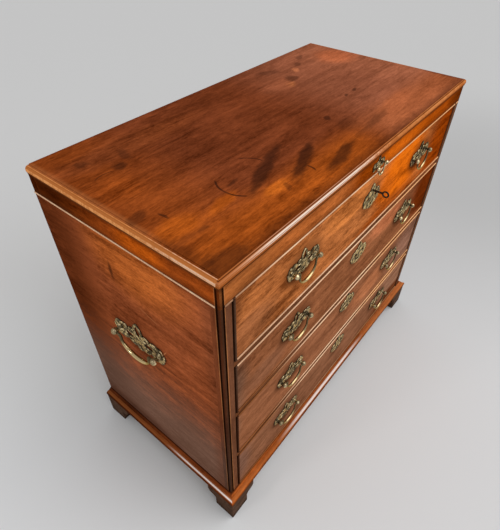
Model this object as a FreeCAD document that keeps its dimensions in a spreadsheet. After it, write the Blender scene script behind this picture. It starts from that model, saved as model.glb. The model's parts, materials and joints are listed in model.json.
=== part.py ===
import FreeCAD, Part
import math
import os
import re

# A mahogany bachelor's chest: four graduated drawers under a shallow lift-up lid, on bracket feet.
# The front faces -Y, the floor is z = 0, and lengths are millimetres.

doc = FreeCAD.newDocument("bachelors_chest")
V = FreeCAD.Vector

sizes = {
    # carcass
    "carcass_width": 950,
    "carcass_depth": 470,
    "front_line": 220.3,
    "side_thickness": 20,
    "post_width": 25,
    "post_depth": 21,
    "corner_bead": 3.6,
    "corner_quirk": 2,
    "back_thickness": 12,
    "floor_thickness": 10,
    "rail_thickness": 14,
    "rail_depth": 60,
    "runner_width": 30,
    "guide_height": 20,
    "dust_thickness": 6,
    "stop_length": 40,
    "stop_width": 12,
    "stop_height": 6,
    "stop_offset": 230,
    # drawer openings, graduated from the top
    "opening_one": 153,
    "opening_two": 158,
    "opening_three": 162,
    "opening_four": 164,
    # base
    "foot_height": 82,
    "foot_projection": 17.5,
    "foot_width": 83,
    "foot_toe": 57,
    "toe_rise": 33,
    "arch_rise": 60,
    "bracket_thickness": 18,
    "block_size": 42,
    "block_lift": 2,
    "brace_width": 72,
    "brace_foot": 43,
    "moulding_height": 18,
    "moulding_projection": 19,
    # lid
    "lid_height": 59,
    "top_thickness": 17,
    "top_overhang": 2,
    "edge_width": 9.5,
    "edge_step": 1.3,
    "ovolo_height": 8.2,
    "lip_height": 3,
    "lip_return": 1.2,
    "frieze_thickness": 18,
    "string_height": 4,
    "string_proud": 1.6,
    "hinge_offset": 330,
    "leaf_length": 44,
    "leaf_height": 24,
    "leaf_thickness": 2,
    "knuckle_radius": 4,
    "knuckle_length": 14,
    "knuckle_gap": 0.3,
    "hinge_pin": 1.6,
    "pin_play": 0.1,
    # drawers
    "side_play": 3,
    "top_play": 1.2,
    "under_play": 0.3,
    "front_thickness": 20,
    "bead_thickness": 4,
    "bead_depth": 14,
    "bead_proud": 2.5,
    "lining_thickness": 10,
    "panel_thickness": 7,
    "panel_rise": 9,
    "groove_depth": 4,
    "back_gap": 16,
    "tail_length": 7,
    "tail_flare": 1.6,
    "tail_gap": 5,
    "back_drop": 12,
    # locks
    "lock_width": 60,
    "lock_height": 44,
    "lock_depth": 14,
    "lock_gap": 1.6,
    "key_drop": 26,
    "keyhole_radius": 3,
    "keyhole_slot": 9,
    "slot_width": 3,
    "ward_radius": 9.5,
    "ward_depth": 5.6,
    "bolt_width": 18,
    "bolt_thickness": 5,
    "bolt_setback": 6.5,
    "bolt_throw": 8,
    "bolt_rest": 1,
    "bolt_play": 0.3,
    "mortise_play": 1,
    "key_shank": 2.3,
    "key_reach": 23.5,
    "key_bow": 6.2,
    "key_wire": 1.8,
    "key_bit": 8,
    "bit_width": 4,
    "bit_thickness": 2,
    # drawer handles
    "handle_offset": 256,
    "handle_lift": 14,
    "plate_width": 102,
    "plate_rise": 36,
    "plate_fall": 20,
    "plate_thickness": 2.4,
    "post_spacing": 76,
    "pivot_stand": 12,
    "knob_radius": 6,
    "stem_radius": 3.2,
    "collar_radius": 7.5,
    "collar_height": 3,
    "bail_span": 26,
    "bail_bow": 22,
    "bail_drop": 8,
    "bail_elbow": 4,
    "bail_wire": 2.1,
    "bail_middle": 3.2,
    "bail_pin": 1.6,
    "bail_play": 0.3,
    "pin_end": 1,
    "escutcheon_width": 74,
    "escutcheon_rise": 35,
    "escutcheon_fall": 28,
    "escutcheon_drop": 18,
    # carrying handles
    "carry_height": 517,
    "carry_width": 156,
    "carry_rise": 55,
    "carry_fall": 30,
    "carry_thickness": 3,
    "carry_spacing": 122,
    "carry_stand": 17,
    "carry_knob": 8,
    "carry_stem": 4.6,
    "carry_collar": 11,
    "carry_collar_height": 4,
    "carry_span": 43,
    "carry_bow": 27,
    "carry_drop": 7,
    "carry_elbow": 6,
    "carry_wire": 3.2,
    "carry_middle": 5,
    "carry_pin": 2.4,
    # drop pull of the lid
    "pull_width": 50,
    "pull_rise": 20,
    "pull_fall": 12,
    "pull_thickness": 2,
    "pull_height": 22,
    "pull_spacing": 36,
    "pull_stand": 9,
    "pull_knob": 4.4,
    "pull_stem": 2.4,
    "pull_collar": 5.4,
    "pull_collar_height": 2,
    "pull_span": 11,
    "pull_bow": 14,
    "pull_drop": 2.6,
    "pull_elbow": 2.4,
    "pull_wire": 1.5,
    "pull_middle": 2.1,
    "pull_pin": 1.1,
}

sheet = doc.addObject("Spreadsheet::Sheet", "Sizes")
for row, (name, number) in enumerate(sizes.items(), 1):
    sheet.set("A%d" % row, name)
    sheet.set("B%d" % row, str(number))
    sheet.setAlias("B%d" % row, name)
doc.recompute()

# How far a cut runs past the face that it opens, and a bead's rounding as a share of its thickness.
past = 1
bead_round = 0.48

# Places nearer to each other than this are taken as the same.
same = 0.01

# Steps of a bail's bow, and tails at each corner of a drawer.
bow_steps = 8
tail_count = 4

nodes = []


def size(name):
    return float(sheet.get(name))


def bind(thing, **formulas):
    """Ties properties of a piece to the sheet; the formulas use the sheet's plain names."""
    for path, formula in formulas.items():
        text = re.sub(r"\b([a-z]+(?:_[a-z]+)+)\b", r"Sizes.\1", formula)
        thing.setExpression(path.replace("__", "."), text)
    return thing


def place(thing, x="0", y="0", z="0"):
    return bind(thing, Placement__Base__x=x, Placement__Base__y=y, Placement__Base__z=z)


def node(thing, label):
    """Names a finished piece, which is then written to a file of its own."""
    thing.Label = label
    nodes.append(thing)
    return thing


def block(name, x, y, z):
    """A squared piece of wood: on each axis a starting point and a size."""
    piece = doc.addObject("Part::Box", name)
    place(piece, x[0], y[0], z[0])
    return bind(piece, Length=x[1], Width=y[1], Height=z[1])


def rod(name, radius, length, axis="z", x="0", y="0", z="0"):
    """A round piece along an axis, such as -y."""
    piece = doc.addObject("Part::Cylinder", name)
    turns = {"x": (V(0, 1, 0), 90), "y": (V(1, 0, 0), -90), "z": (V(0, 0, 1), 0), "-x": (V(0, 1, 0), -90),
             "-y": (V(1, 0, 0), 90), "-z": (V(1, 0, 0), 180)}
    piece.Placement = FreeCAD.Placement(V(0, 0, 0), FreeCAD.Rotation(*turns[axis]))
    place(piece, x, y, z)
    return bind(piece, Radius=radius, Height=length)


def fuse(name, *pieces):
    whole = doc.addObject("Part::MultiFuse", name)
    whole.Shapes = list(pieces)
    return whole


def cut(name, piece, *tools):
    for number, tool in enumerate(tools):
        last = doc.addObject("Part::Cut", name if number == len(tools) - 1 else "%s_%d" % (name, number))
        last.Base = piece
        last.Tool = tool
        piece = last
    return piece


def group(name, *pieces):
    """Several separate solids kept together, or one that is placed again elsewhere."""
    whole = doc.addObject("Part::Compound", name)
    whole.Links = list(pieces)
    return whole


def mirrored(name, piece, normal=V(1, 0, 0)):
    other = doc.addObject("Part::Mirroring", name)
    other.Source = piece
    other.Normal = normal
    return other


def loop(start, *steps):
    """A closed outline: each step is a point for a straight line, or (via, end) for an arc."""
    here = V(*start)
    edges = []
    for step in steps + (start,):
        curved = isinstance(step[0], tuple)
        there = V(*(step[1] if curved else step))
        if curved:
            edges.append(Part.Arc(here, V(*step[0]), there))
        elif (there - here).Length > same:
            edges.append(Part.LineSegment(here, there))
        here = there
    return edges


def body(name):
    return doc.addObject("PartDesign::Body", name)


def sketch(solid, name, plane, edges):
    """A sketch on one of a body's own origin planes."""
    drawing = solid.newObject("Sketcher::SketchObject", name)
    support = [f for f in solid.Origin.OriginFeatures if f.Role == plane][0]
    drawing.AttachmentSupport = [(support, "")]
    drawing.MapMode = "FlatFace"
    for edge in edges:
        drawing.addGeometry(edge, False)
    return drawing


def pad(solid, name, profile, length):
    feature = solid.newObject("PartDesign::Pad", name)
    feature.Profile = profile
    return bind(feature, Length=length)


def soften(name, piece, radius, chosen):
    """Rounds the edges of a piece that pass the test."""
    doc.recompute()
    rounded = doc.addObject("Part::Fillet", name)
    rounded.Base = piece
    picks = [n for n, edge in enumerate(piece.Shape.Edges, 1) if chosen(edge)]
    rounded.Edges = [(n, radius, radius) for n in picks]
    return rounded


# Levels: each drawer opening stands on the rail, or the floor of the carcass, below it.
words = {1: "one", 2: "two", 3: "three", 4: "four"}
level = {4: "(foot_height + moulding_height)"}
for n in (3, 2, 1):
    level[n] = "(%s + opening_%s + rail_thickness)" % (level[n + 1], words[n + 1])
carcass_top = "(%s + opening_one)" % level[1]
front = "-front_line"
back = "(carcass_depth - front_line)"
inner_half = "(carcass_width / 2 - side_thickness)"
opening_half = "(carcass_width / 2 - post_width)"
inner_front = "(-front_line + post_depth)"
inner_back = "(carcass_depth - front_line - back_thickness)"


# Carcass: panelled sides behind beaded corner posts.
panel = block("side_panel", ("-carcass_width / 2", "side_thickness"),
              (inner_front, "carcass_depth - post_depth"), ("foot_height", carcass_top + " - foot_height"))
node(panel, "side_panel_left")
node(mirrored("side_panel_mirror", panel), "side_panel_right")


def corner_post(name, foot, height):
    """A post whose outer corner is worked to a round bead between two quirks."""
    r = size("corner_bead")
    q = size("corner_quirk")
    w = size("post_width")
    d = size("post_depth")
    solid = body(name)
    profile = sketch(solid, name + "_section", "XY_Plane", loop(
        (w, 0), (2 * r + q, 0), (2 * r + q, r), (2 * r, r),
        ((r - r * 0.5 ** 0.5, r - r * 0.5 ** 0.5), (r, 2 * r)),
        (r, 2 * r + q), (0, 2 * r + q), (0, d), (w, d)))
    pad(solid, name + "_length", profile, height)
    return place(solid, "-carcass_width / 2", front, foot)


post = corner_post("corner_post", "foot_height", carcass_top + " - foot_height")
node(post, "corner_post_left")
node(mirrored("corner_post_mirror", post), "corner_post_right")

inside_depth = inner_back + " - " + inner_front
carcass_floor = block("carcass_floor", ("-" + inner_half, "2 * " + inner_half), (inner_front, inside_depth),
                      ("foot_height", "moulding_height"))
node(carcass_floor, "carcass_bottom")

third = "(2 * %s / 3)" % inner_half
back_boards = [block("back_board_%d" % (k + 1), ("-%s + %d * %s" % (inner_half, k, third), third),
                     (inner_back, "back_thickness"), ("foot_height", carcass_top + " - foot_height"))
               for k in range(3)]
node(group("back", *back_boards), "back_boards")


# Locks are let in behind each drawer front, and their bolts rise into mortises above.
bolt_front = "(-front_line + front_thickness + bolt_setback)"


def mortise(name, underside):
    return block(name, ("-bolt_width / 2 - mortise_play", "bolt_width + 2 * mortise_play"),
                 (bolt_front + " - mortise_play", "bolt_thickness + 2 * mortise_play"),
                 (underside, "bolt_throw + mortise_play"))


floor_board = block("floor_board", ("-" + inner_half, "2 * " + inner_half),
                    (inner_front, inside_depth), (carcass_top + " - floor_thickness", "floor_thickness"))
node(cut("floor_mortised", floor_board, mortise("floor_mortise", carcass_top + " - floor_thickness")),
     "compartment_floor")

rails = [block("bottom_rail", ("-" + opening_half, "2 * " + opening_half), (front, "post_depth"),
               ("foot_height", "moulding_height"))]
runners = []
dust_boards = []
rail_back = "(-front_line + rail_depth)"
behind_rail = (rail_back, inner_back + " - " + rail_back)
for n in (1, 2, 3):
    under = "(%s - rail_thickness)" % level[n]
    rail = block("rail_board_%d" % n, ("-" + opening_half, "2 * " + opening_half), (front, "rail_depth"),
                 (under, "rail_thickness"))
    rails.append(cut("rail_%d" % n, rail, mortise("rail_mortise_%d" % n, under)))
    runner_x = ("-" + inner_half, "runner_width")
    runner = block("runner_%d" % n, runner_x, behind_rail, (under, "rail_thickness"))
    runners += [runner, mirrored("runner_mirror_%d" % n, runner)]
    between = ("-%s + runner_width" % inner_half, "2 * (%s - runner_width)" % inner_half)
    dust_boards.append(block("dust_%d" % n, between, behind_rail,
                             (under + " + (rail_thickness - dust_thickness) / 2", "dust_thickness")))
for n in (1, 2, 3, 4):
    guide = block("guide_%d" % n, ("-" + inner_half, "post_width - side_thickness"),
                  (inner_front, inside_depth), (level[n], "guide_height"))
    stop = block("stop_%d" % n, ("-stop_offset - stop_length / 2", "stop_length"),
                 ("-front_line + front_thickness + under_play", "stop_width"), (level[n], "stop_height"))
    runners += [guide, mirrored("guide_mirror_%d" % n, guide), stop, mirrored("stop_mirror_%d" % n, stop)]
node(group("rails", *rails), "drawer_rails")
node(group("runners", *runners), "drawer_runners")
node(group("dust", *dust_boards), "dust_boards")


# Base moulding: a cavetto above an ovolo, mitred round the front and both sides.
def moulding_section():
    """Section with its back on the carcass at 0 and its nose at minus the projection."""
    p = -size("moulding_projection")
    t = size("moulding_height")
    return loop((0, 0), (0.95 * p, 0), (0.95 * p, 0.16 * t), (p, 0.16 * t),
                ((0.93 * p, 0.56 * t), (0.62 * p, 0.74 * t)), (0.54 * p, 0.74 * t),
                ((0.3 * p, 0.81 * t), (0.15 * p, t)), (0, t))


def common(name, one, other):
    shape = doc.addObject("Part::Common", name)
    shape.Base = one
    shape.Tool = other
    return shape


def mitred(name, plane, length, start, plan):
    """A run of moulding, cut to its mitres by its outline seen from above."""
    run = body(name + "_run")
    pad(run, name + "_length", sketch(run, name + "_section", plane, moulding_section()), length)
    place(run, *start, "foot_height")
    limits = body(name + "_plan")
    pad(limits, name + "_height", sketch(limits, name + "_outline", "XY_Plane", plan), "moulding_height")
    place(limits, "-carcass_width / 2", front, "foot_height")
    return common(name, run, limits)


reach = size("moulding_projection")
wide = size("carcass_width")
deep = size("carcass_depth")
moulding_front = mitred("moulding_front", "YZ_Plane", "carcass_width + 2 * moulding_projection",
                        ("-carcass_width / 2 - moulding_projection", front),
                        loop((0, 0), (wide, 0), (wide + reach, -reach), (-reach, -reach)))
moulding_left = mitred("moulding_left", "XZ_Plane", "carcass_depth + moulding_projection",
                       ("-carcass_width / 2", back),
                       loop((0, 0), (0, deep), (-reach, deep), (-reach, -reach)))
moulding_right = mirrored("moulding_right", moulding_left)
node(group("moulding", moulding_front, moulding_left, moulding_right), "base_moulding")


# Bracket feet: a straight toe under an ogee, mitred at the front corners and backed by a glue block.
def bracket_cut(sign):
    """The space under a bracket, from its toe to its inner end, along the sign's direction."""
    toe = size("foot_toe")
    width = size("foot_width")
    low = size("toe_rise")
    high = size("arch_rise")
    middle = ((toe + width) / 2, (low + high) / 2)
    reach = (width - toe) / 2
    rise = (high - low) / 2
    outline = [(toe, -past), (toe, low), ((toe + 0.3 * reach, low + 0.72 * rise), middle),
               ((middle[0] + 0.7 * reach, middle[1] + 0.28 * rise), (width, high)),
               (width + past, high), (width + past, -past)]
    turned = []
    for step in outline:
        if isinstance(step[0], tuple):
            turned.append(tuple((sign * point[0], point[1]) for point in step))
        else:
            turned.append((sign * step[0], step[1]))
    return loop(*turned)


def bracket(name, plan, plane, sign, reverse):
    solid = body(name)
    pad(solid, name + "_height", sketch(solid, name + "_plan", "XY_Plane", plan), "foot_height")
    doc.recompute()
    whole = solid.Shape.Volume
    space = solid.newObject("PartDesign::Pocket", name + "_space")
    space.Profile = sketch(solid, name + "_outline", plane, bracket_cut(sign))
    space.Type = "ThroughAll"
    space.Reversed = reverse
    doc.recompute()
    if not solid.Shape.Volume < whole:
        raise RuntimeError(name + " was not cut")
    return solid


thick = size("bracket_thickness")
wide = size("foot_width")
corner_x = "(-carcass_width / 2 - foot_projection)"
corner_y = "(-front_line - foot_projection)"
mitred_plan = loop((0, 0), (wide, 0), (wide, thick), (thick, thick))
front_bracket = bracket("front_bracket", mitred_plan, "XZ_Plane", 1, False)
place(front_bracket, corner_x, corner_y)
side_bracket = mirrored("side_bracket", front_bracket, V(1, -1, 0))
bind(side_bracket, Base__x=corner_x, Base__y=corner_y)
block_x = (corner_x + " + bracket_thickness", "block_size")
block_z = ("block_lift", "foot_height - block_lift")
front_block = block("front_block", block_x, (corner_y + " + bracket_thickness", "block_size"), block_z)
foot = node(group("front_foot", front_bracket, side_bracket, front_block), "foot_front_left")
node(mirrored("front_foot_mirror", foot), "foot_front_right")

square_plan = loop((0, 0), (thick, 0), (thick, -wide), (0, -wide))
rear_bracket = bracket("rear_bracket", square_plan, "YZ_Plane", -1, True)
place(rear_bracket, corner_x, back)
brace = body("rear_brace")
high = size("foot_height")
raked = loop((0, 0), (size("brace_foot"), 0), (size("brace_width"), high), (0, high))
brace_outline = sketch(brace, "rear_brace_outline", "XZ_Plane", raked)
pad(brace, "rear_brace_thickness", brace_outline, "bracket_thickness")
place(brace, corner_x + " + bracket_thickness", back)
rear_block = block("rear_block", block_x, (back + " - bracket_thickness - block_size", "block_size"), block_z)
foot = node(group("rear_foot", rear_bracket, brace, rear_block), "foot_back_left")
node(mirrored("rear_foot_mirror", foot), "foot_back_right")


# Lid: the top board, moulded on three edges, over a shallow frieze frame with the same beaded corners.
thick = size("top_thickness")
shoulder = thick - size("edge_step")
nose = shoulder - size("ovolo_height")
lip = nose - size("lip_height")
flat = size("edge_width")
inset = size("lip_return")
via = (0.22 * flat, nose + 0.74 * (shoulder - nose))
depth = size("carcass_depth") + size("top_overhang")
width = size("carcass_width") + 2 * size("top_overhang")
moulded_edge = [(inset, 0), (inset, lip), (0, lip), (0, nose), (via, (flat, shoulder)), (flat, thick)]
other_edge = [(width - flat, thick), (width - flat, shoulder), ((width - via[0], via[1]), (width, nose)),
              (width, lip), (width - inset, lip), (width - inset, 0)]
under_top = carcass_top + " + lid_height - top_thickness"
along = body("top_along")
along_edges = loop(*moulded_edge, (depth, thick), (depth, 0))
along_section = sketch(along, "top_along_section", "YZ_Plane", along_edges)
pad(along, "top_along_run", along_section, "carcass_width + 2 * top_overhang")
place(along, "-carcass_width / 2 - top_overhang", "-front_line - top_overhang", under_top)
across = body("top_across")
across_section = sketch(across, "top_across_section", "XZ_Plane", loop(*moulded_edge, *other_edge))
pad(across, "top_across_run", across_section, "carcass_depth + top_overhang")
place(across, "-carcass_width / 2 - top_overhang", back, under_top)
node(common("top_board", along, across), "lid_top")

frieze_foot = "(%s + string_height)" % carcass_top
frieze_height = "lid_height - top_thickness - string_height"
lid_corner = corner_post("lid_corner", carcass_top, "lid_height - top_thickness")
side_frieze = block("side_frieze", ("-carcass_width / 2", "frieze_thickness"),
                    (inner_front, "carcass_depth - post_depth"), (frieze_foot, frieze_height))
frieze_half = "(carcass_width / 2 - frieze_thickness)"
frame = [lid_corner, mirrored("lid_corner_mirror", lid_corner),
         block("front_frieze", ("-" + opening_half, "2 * " + opening_half), (front, "frieze_thickness"),
               (frieze_foot, frieze_height)),
         side_frieze, mirrored("side_frieze_mirror", side_frieze),
         block("back_frieze", ("-" + frieze_half, "2 * " + frieze_half),
               (back + " - frieze_thickness", "frieze_thickness"),
               (carcass_top, "lid_height - top_thickness"))]
node(group("frieze", *frame), "lid_frieze")

# A pale bead under the frieze: let into the frame, and carried across the corners as far as their quirks.
string_end = "(2 * corner_bead + corner_quirk)"
face_half = "(carcass_width / 2 - %s)" % string_end
string_z = (carcass_top, "string_height")
string_round = min(bead_round * size("string_height"), 0.9 * size("string_proud"))


def string(name, core, face, nose):
    """A strip inside the frame with a strip proud of it, whose edges that pass the test are rounded."""
    inside = block(name + "_core", *core, string_z)
    outside = block(name + "_face", *face, string_z)
    return soften(name, fuse(name + "_strip", inside, outside), string_round, nose)


def front_nose(edge):
    proud = abs(edge.BoundBox.YMax + size("front_line") + size("string_proud")) < same
    return proud and edge.BoundBox.XLength > size("string_height")


def side_nose(edge):
    proud = abs(edge.BoundBox.XMax + size("carcass_width") / 2 + size("string_proud")) < same
    return proud and edge.BoundBox.YLength > size("string_height")


front_core = (("-" + opening_half, "2 * " + opening_half), (front, "frieze_thickness"))
front_face = (("-" + face_half, "2 * " + face_half), ("-front_line - string_proud", "string_proud"))
front_string = string("front_string", front_core, front_face, front_nose)
side_core = (("-carcass_width / 2", "frieze_thickness"), (inner_front, "carcass_depth - post_depth"))
side_face = (("-carcass_width / 2 - string_proud", "string_proud"),
             ("-front_line + " + string_end, "carcass_depth - " + string_end))
side_string = string("side_string", side_core, side_face, side_nose)
strings = group("strings", front_string, side_string, mirrored("side_string_mirror", side_string))
node(strings, "lid_string_bead")


# Hinges: two butt hinges on the back, with the pin held in the outer knuckles.
stand = "(knuckle_radius + knuckle_gap)"
leaf_start = "(knuckle_radius + 2 * knuckle_gap)"
knuckle_half = "(leaf_length / 2 - knuckle_length - knuckle_gap)"
leaf_y = ("-" + stand, "leaf_thickness")
pieces = [block("fixed_leaf", ("-leaf_length / 2", "leaf_length"), leaf_y,
                ("-%s - leaf_height" % leaf_start, "leaf_height")),
          rod("hinge_rod", "hinge_pin", "leaf_length", "x", "-leaf_length / 2")]
for number, start in enumerate(("-leaf_length / 2", "leaf_length / 2 - knuckle_length")):
    tab_z = ("-" + leaf_start, leaf_start)
    pieces.append(block("fixed_tab_%d" % number, (start, "knuckle_length"), leaf_y, tab_z))
    pieces.append(rod("fixed_knuckle_%d" % number, "knuckle_radius", "knuckle_length", "x", start))
fixed_leaf = fuse("hinge_fixed", *pieces)
pieces = [block("moving_leaf", ("-leaf_length / 2", "leaf_length"), leaf_y, (leaf_start, "leaf_height")),
          block("moving_tab", ("-" + knuckle_half, "2 * " + knuckle_half), leaf_y, ("0", leaf_start)),
          rod("moving_knuckle", "knuckle_radius", "2 * " + knuckle_half, "x", "-" + knuckle_half)]
hinge_bore = rod("hinge_bore", "hinge_pin + pin_play", "leaf_length", "x", "-leaf_length / 2")
moving_leaf = cut("hinge_moving", fuse("moving_body", *pieces), hinge_bore)
for leaf, label in ((fixed_leaf, "lid_hinges_fixed"), (moving_leaf, "lid_hinges_moving")):
    pair = []
    for side, sign in (("left", "-"), ("right", "")):
        hinge = group("%s_%s" % (label, side), leaf)
        pair.append(place(hinge, sign + "hinge_offset", back + " + " + stand, carcass_top))
    node(group(label + "_pair", *pair), label)


# Pierced plates in cast brass: an arched crown between leaf scrolls. A pattern gives the half width, rise
# and fall it is drawn at. Its outline runs from the crown down the right side to the foot: each point has the
# swell of the arc that leads to it, as a share of the chord, and the first has that of the arc across the
# foot. A piercing is a lens: its two ends and the swells of its upper and lower arcs.
handle_pattern = {
    "at": (51, 36, 20),
    "outline": [(0, 36, 0.3), (9, 17, 0.14), (22, 12, 0.24), (36, 15, 0.26), (48, 8, 0.3), (48, -6, 0.214),
                (37, -15, 0.3), (23, -9, 0.2), (7, -16, 0.22)],
    "sides": [((10, 1), (29, 2), 0.26, 0.22), ((9, 9.5), (21, 7.5), 0.2, 0.1),
              ((10, -9), (21, -6.5), 0.12, 0.16)],
    "middle": [((0, 8), (0, 31), 0.19, 0.19), ((-4.5, -11), (4.5, -11), 0.3, 0.4)],
}
shield_pattern = {
    "at": (37, 35, 28),
    "outline": [(0, 35, 0.3), (9.5, 18, 0.14), (21, 15, 0.24), (33, 7, 0.3), (33, -7, 0.286),
                (25, -15, 0.28), (14, -18, 0.28), (5, -24, 0.28)],
    "sides": [((10, 3), (24, 3), 0.3, 0.3), ((9, -9), (20, -10), 0.12, 0.2)],
    "middle": [((-5, -14), (5, -14), 0.3, 0.45)],
}


def arc(start, end, swell):
    """The step from start to end that swells to the left by a share of the chord."""
    over = end[0] - start[0]
    up = end[1] - start[1]
    return ((start[0] + end[0]) / 2 - swell * up, (start[1] + end[1]) / 2 + swell * over), end


def lens(start, end, upper, lower):
    return loop(start, arc(start, end, upper), arc(end, start, lower))


def plate_edges(pattern, part):
    """A pattern's outline and its piercings, at this part's width, rise and fall in the sheet."""
    wide, high, low = pattern["at"]
    across = size(part + "_width") / 2 / wide
    above = size(part + "_rise") / high
    below = size(part + "_fall") / low

    def at(point, sign=1):
        return (sign * point[0] * across, point[1] * (above if point[1] > 0 else below))

    right = [at(point) for point in pattern["outline"]]
    swells = [swell for x, z, swell in pattern["outline"]]
    ends = right[1:] + [(-x, z) for x, z in reversed(right)]
    edges = loop(right[0], *map(arc, [right[0]] + ends, ends, swells[1:] + swells[:1] + swells[:0:-1]))
    for start, end, upper, lower in pattern["middle"]:
        edges += lens(at(start), at(end), upper, lower)
    for start, end, upper, lower in pattern["sides"]:
        edges += lens(at(start), at(end), upper, lower) + lens(at(end, -1), at(start, -1), upper, lower)
    return edges


def keyhole_edges(height):
    radius = size("keyhole_radius")
    half = size("slot_width") / 2
    shoulder = height - (radius ** 2 - half ** 2) ** 0.5
    foot = height - size("keyhole_slot")
    return loop((-half, foot), (-half, shoulder), ((0, height + radius), (half, shoulder)), (half, foot))


def plate(name, edges, thickness):
    solid = body(name)
    pad(solid, name + "_thickness", sketch(solid, name + "_outline", "XZ_Plane", edges), thickness)
    return solid


def handle_post(name, stand, knob, stem, collar, collar_height, pin, spacing, plate_thickness):
    """The left one of a pair of turned posts, its ball head bored from the inner side for the bail's pin."""
    start = "-" + spacing + " / 2"
    foot = "-" + plate_thickness
    shaft = rod(name + "_stem", stem, "%s - %s" % (stand, plate_thickness), "-y", start, foot)
    head = doc.addObject("Part::Sphere", name + "_head")
    bind(head, Radius=knob)
    place(head, start, "-" + stand)
    ring = doc.addObject("Part::Cone", name + "_collar")
    ring.Placement = FreeCAD.Placement(V(0, 0, 0), FreeCAD.Rotation(V(1, 0, 0), 90))
    bind(ring, Radius1=collar, Radius2=stem, Height=collar_height)
    place(ring, start, foot)
    bore = rod(name + "_bore", pin + " + bail_play", "%s + %d" % (knob, past), "x", start, "-" + stand)
    return cut(name, fuse(name + "_turned", shaft, head, ring), bore)


def bail(name, part, pin, spacing):
    """A drop handle in the plane y = 0, hanging from its pins at z = 0: a bow that swells to its middle, on
    two arms that turn out in elbows."""
    span, bow, drop, elbow, wire = [part + word for word in ("_span", "_bow", "_drop", "_elbow", "_wire")]
    low = "-%s - %s" % (elbow, drop)
    rings = []
    for number in range(bow_steps + 1):
        turn = math.pi * number / bow_steps
        along = V(-size(span) * math.sin(turn), 0, -size(bow) * math.cos(turn))
        ring = doc.addObject("Part::Circle", "%s_ring_%d" % (name, number))
        ring.Placement = FreeCAD.Placement(V(0, 0, 0), FreeCAD.Rotation(V(0, 0, 1), along))
        place(ring, "%s * %.6f" % (span, math.cos(turn)), "0", "%s - %s * %.6f" % (low, bow, math.sin(turn)))
        swell = "(%s_middle - %s) * %.6f" % (part, wire, math.sin(turn) ** 2)
        rings.append(bind(ring, Radius="%s + %s" % (wire, swell)))
    curve = doc.addObject("Part::Loft", name + "_bow")
    curve.Sections = rings
    curve.Solid = True
    pieces = [curve]
    upright = FreeCAD.Rotation(V(1, 0, 0), 90)
    pin_length = "%s / 2 - pin_end - %s - %s" % (spacing, span, elbow)
    for side, sign, turn, axis in (("left", "-", 0, "-x"), ("right", "", 90, "x")):
        outer = "%s(%s + %s)" % (sign, span, elbow)
        bend = doc.addObject("Part::Torus", "%s_elbow_%s" % (name, side))
        bend.Placement = FreeCAD.Placement(V(0, 0, 0), upright * FreeCAD.Rotation(V(0, 0, 1), turn))
        bend.Angle3 = 90
        bind(bend, Radius1=elbow, Radius2=wire)
        pieces.append(place(bend, outer, "0", "-" + elbow))
        pieces.append(rod("%s_arm_%s" % (name, side), wire, drop, "z", sign + span, "0", low))
        pieces.append(rod("%s_pin_%s" % (name, side), pin, pin_length, axis, outer))
    return fuse(name, *pieces)


left_post = handle_post("handle_post", "pivot_stand", "knob_radius", "stem_radius", "collar_radius",
                        "collar_height", "bail_pin", "post_spacing", "plate_thickness")
handle_plate = plate("handle_plate", plate_edges(handle_pattern, "plate"), "plate_thickness")
handle_mount = [handle_plate, left_post, mirrored("handle_post_mirror", left_post)]
handle_bail = bail("handle_bail", "bail", "bail_pin", "post_spacing")
shield_edges = plate_edges(shield_pattern, "escutcheon") + keyhole_edges(size("escutcheon_drop"))
escutcheon = plate("key_plate", shield_edges, "plate_thickness")


# Carrying handles at the middle of each side: the same pattern, larger.
carry_post = handle_post("carry_post", "carry_stand", "carry_knob", "carry_stem", "carry_collar",
                         "carry_collar_height", "carry_pin", "carry_spacing", "carry_thickness")
carry_plate = plate("carry_plate", plate_edges(handle_pattern, "carry"), "carry_thickness")
carry_bail = bail("carry_bail", "carry", "carry_pin", "carry_spacing")
outward = FreeCAD.Placement(V(0, 0, 0), FreeCAD.Rotation(V(0, 0, 1), -90))
middle = "(carcass_depth / 2 - front_line)"
carry_mount = group("carry_mount", carry_plate, carry_post, mirrored("carry_post_mirror", carry_post))
carry_mount.Placement = outward
place(carry_mount, "-carcass_width / 2", middle, "carry_height")
node(group("carry_mounts_pair", carry_mount, mirrored("carry_mount_mirror", carry_mount)), "carry_mounts")
carry_left = group("carry_bail_left", carry_bail)
carry_left.Placement = outward
place(carry_left, "-carcass_width / 2 - carry_stand", middle, "carry_height")
node(carry_left, "carry_bail_left")
node(mirrored("carry_bail_right", carry_left), "carry_bail_right")


# Drop pull in the middle of the lid's frieze: the same pattern, smaller.
pull_post = handle_post("pull_post", "pull_stand", "pull_knob", "pull_stem", "pull_collar",
                        "pull_collar_height", "pull_pin", "pull_spacing", "pull_thickness")
pull_plate = plate("pull_plate", plate_edges(handle_pattern, "pull"), "pull_thickness")
pull_at = carcass_top + " + pull_height"
pull_mount = group("pull_mount", pull_plate, pull_post, mirrored("pull_post_mirror", pull_post))
node(place(pull_mount, "0", front, pull_at), "lid_pull_plate")
pull_bail = group("pull_swing", bail("pull_bail", "pull", "pull_pin", "pull_spacing"))
node(place(pull_bail, "0", "-front_line - pull_stand", pull_at), "lid_ring")


# Drawers: a beaded front, grooved linings, a back and a bottom panel, with brass, lock and bails.
drawer_half = "(carcass_width / 2 - post_width - side_play)"
drawer_length = "(carcass_depth - back_thickness - back_gap)"
front_back = "(-front_line + front_thickness)"


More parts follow.
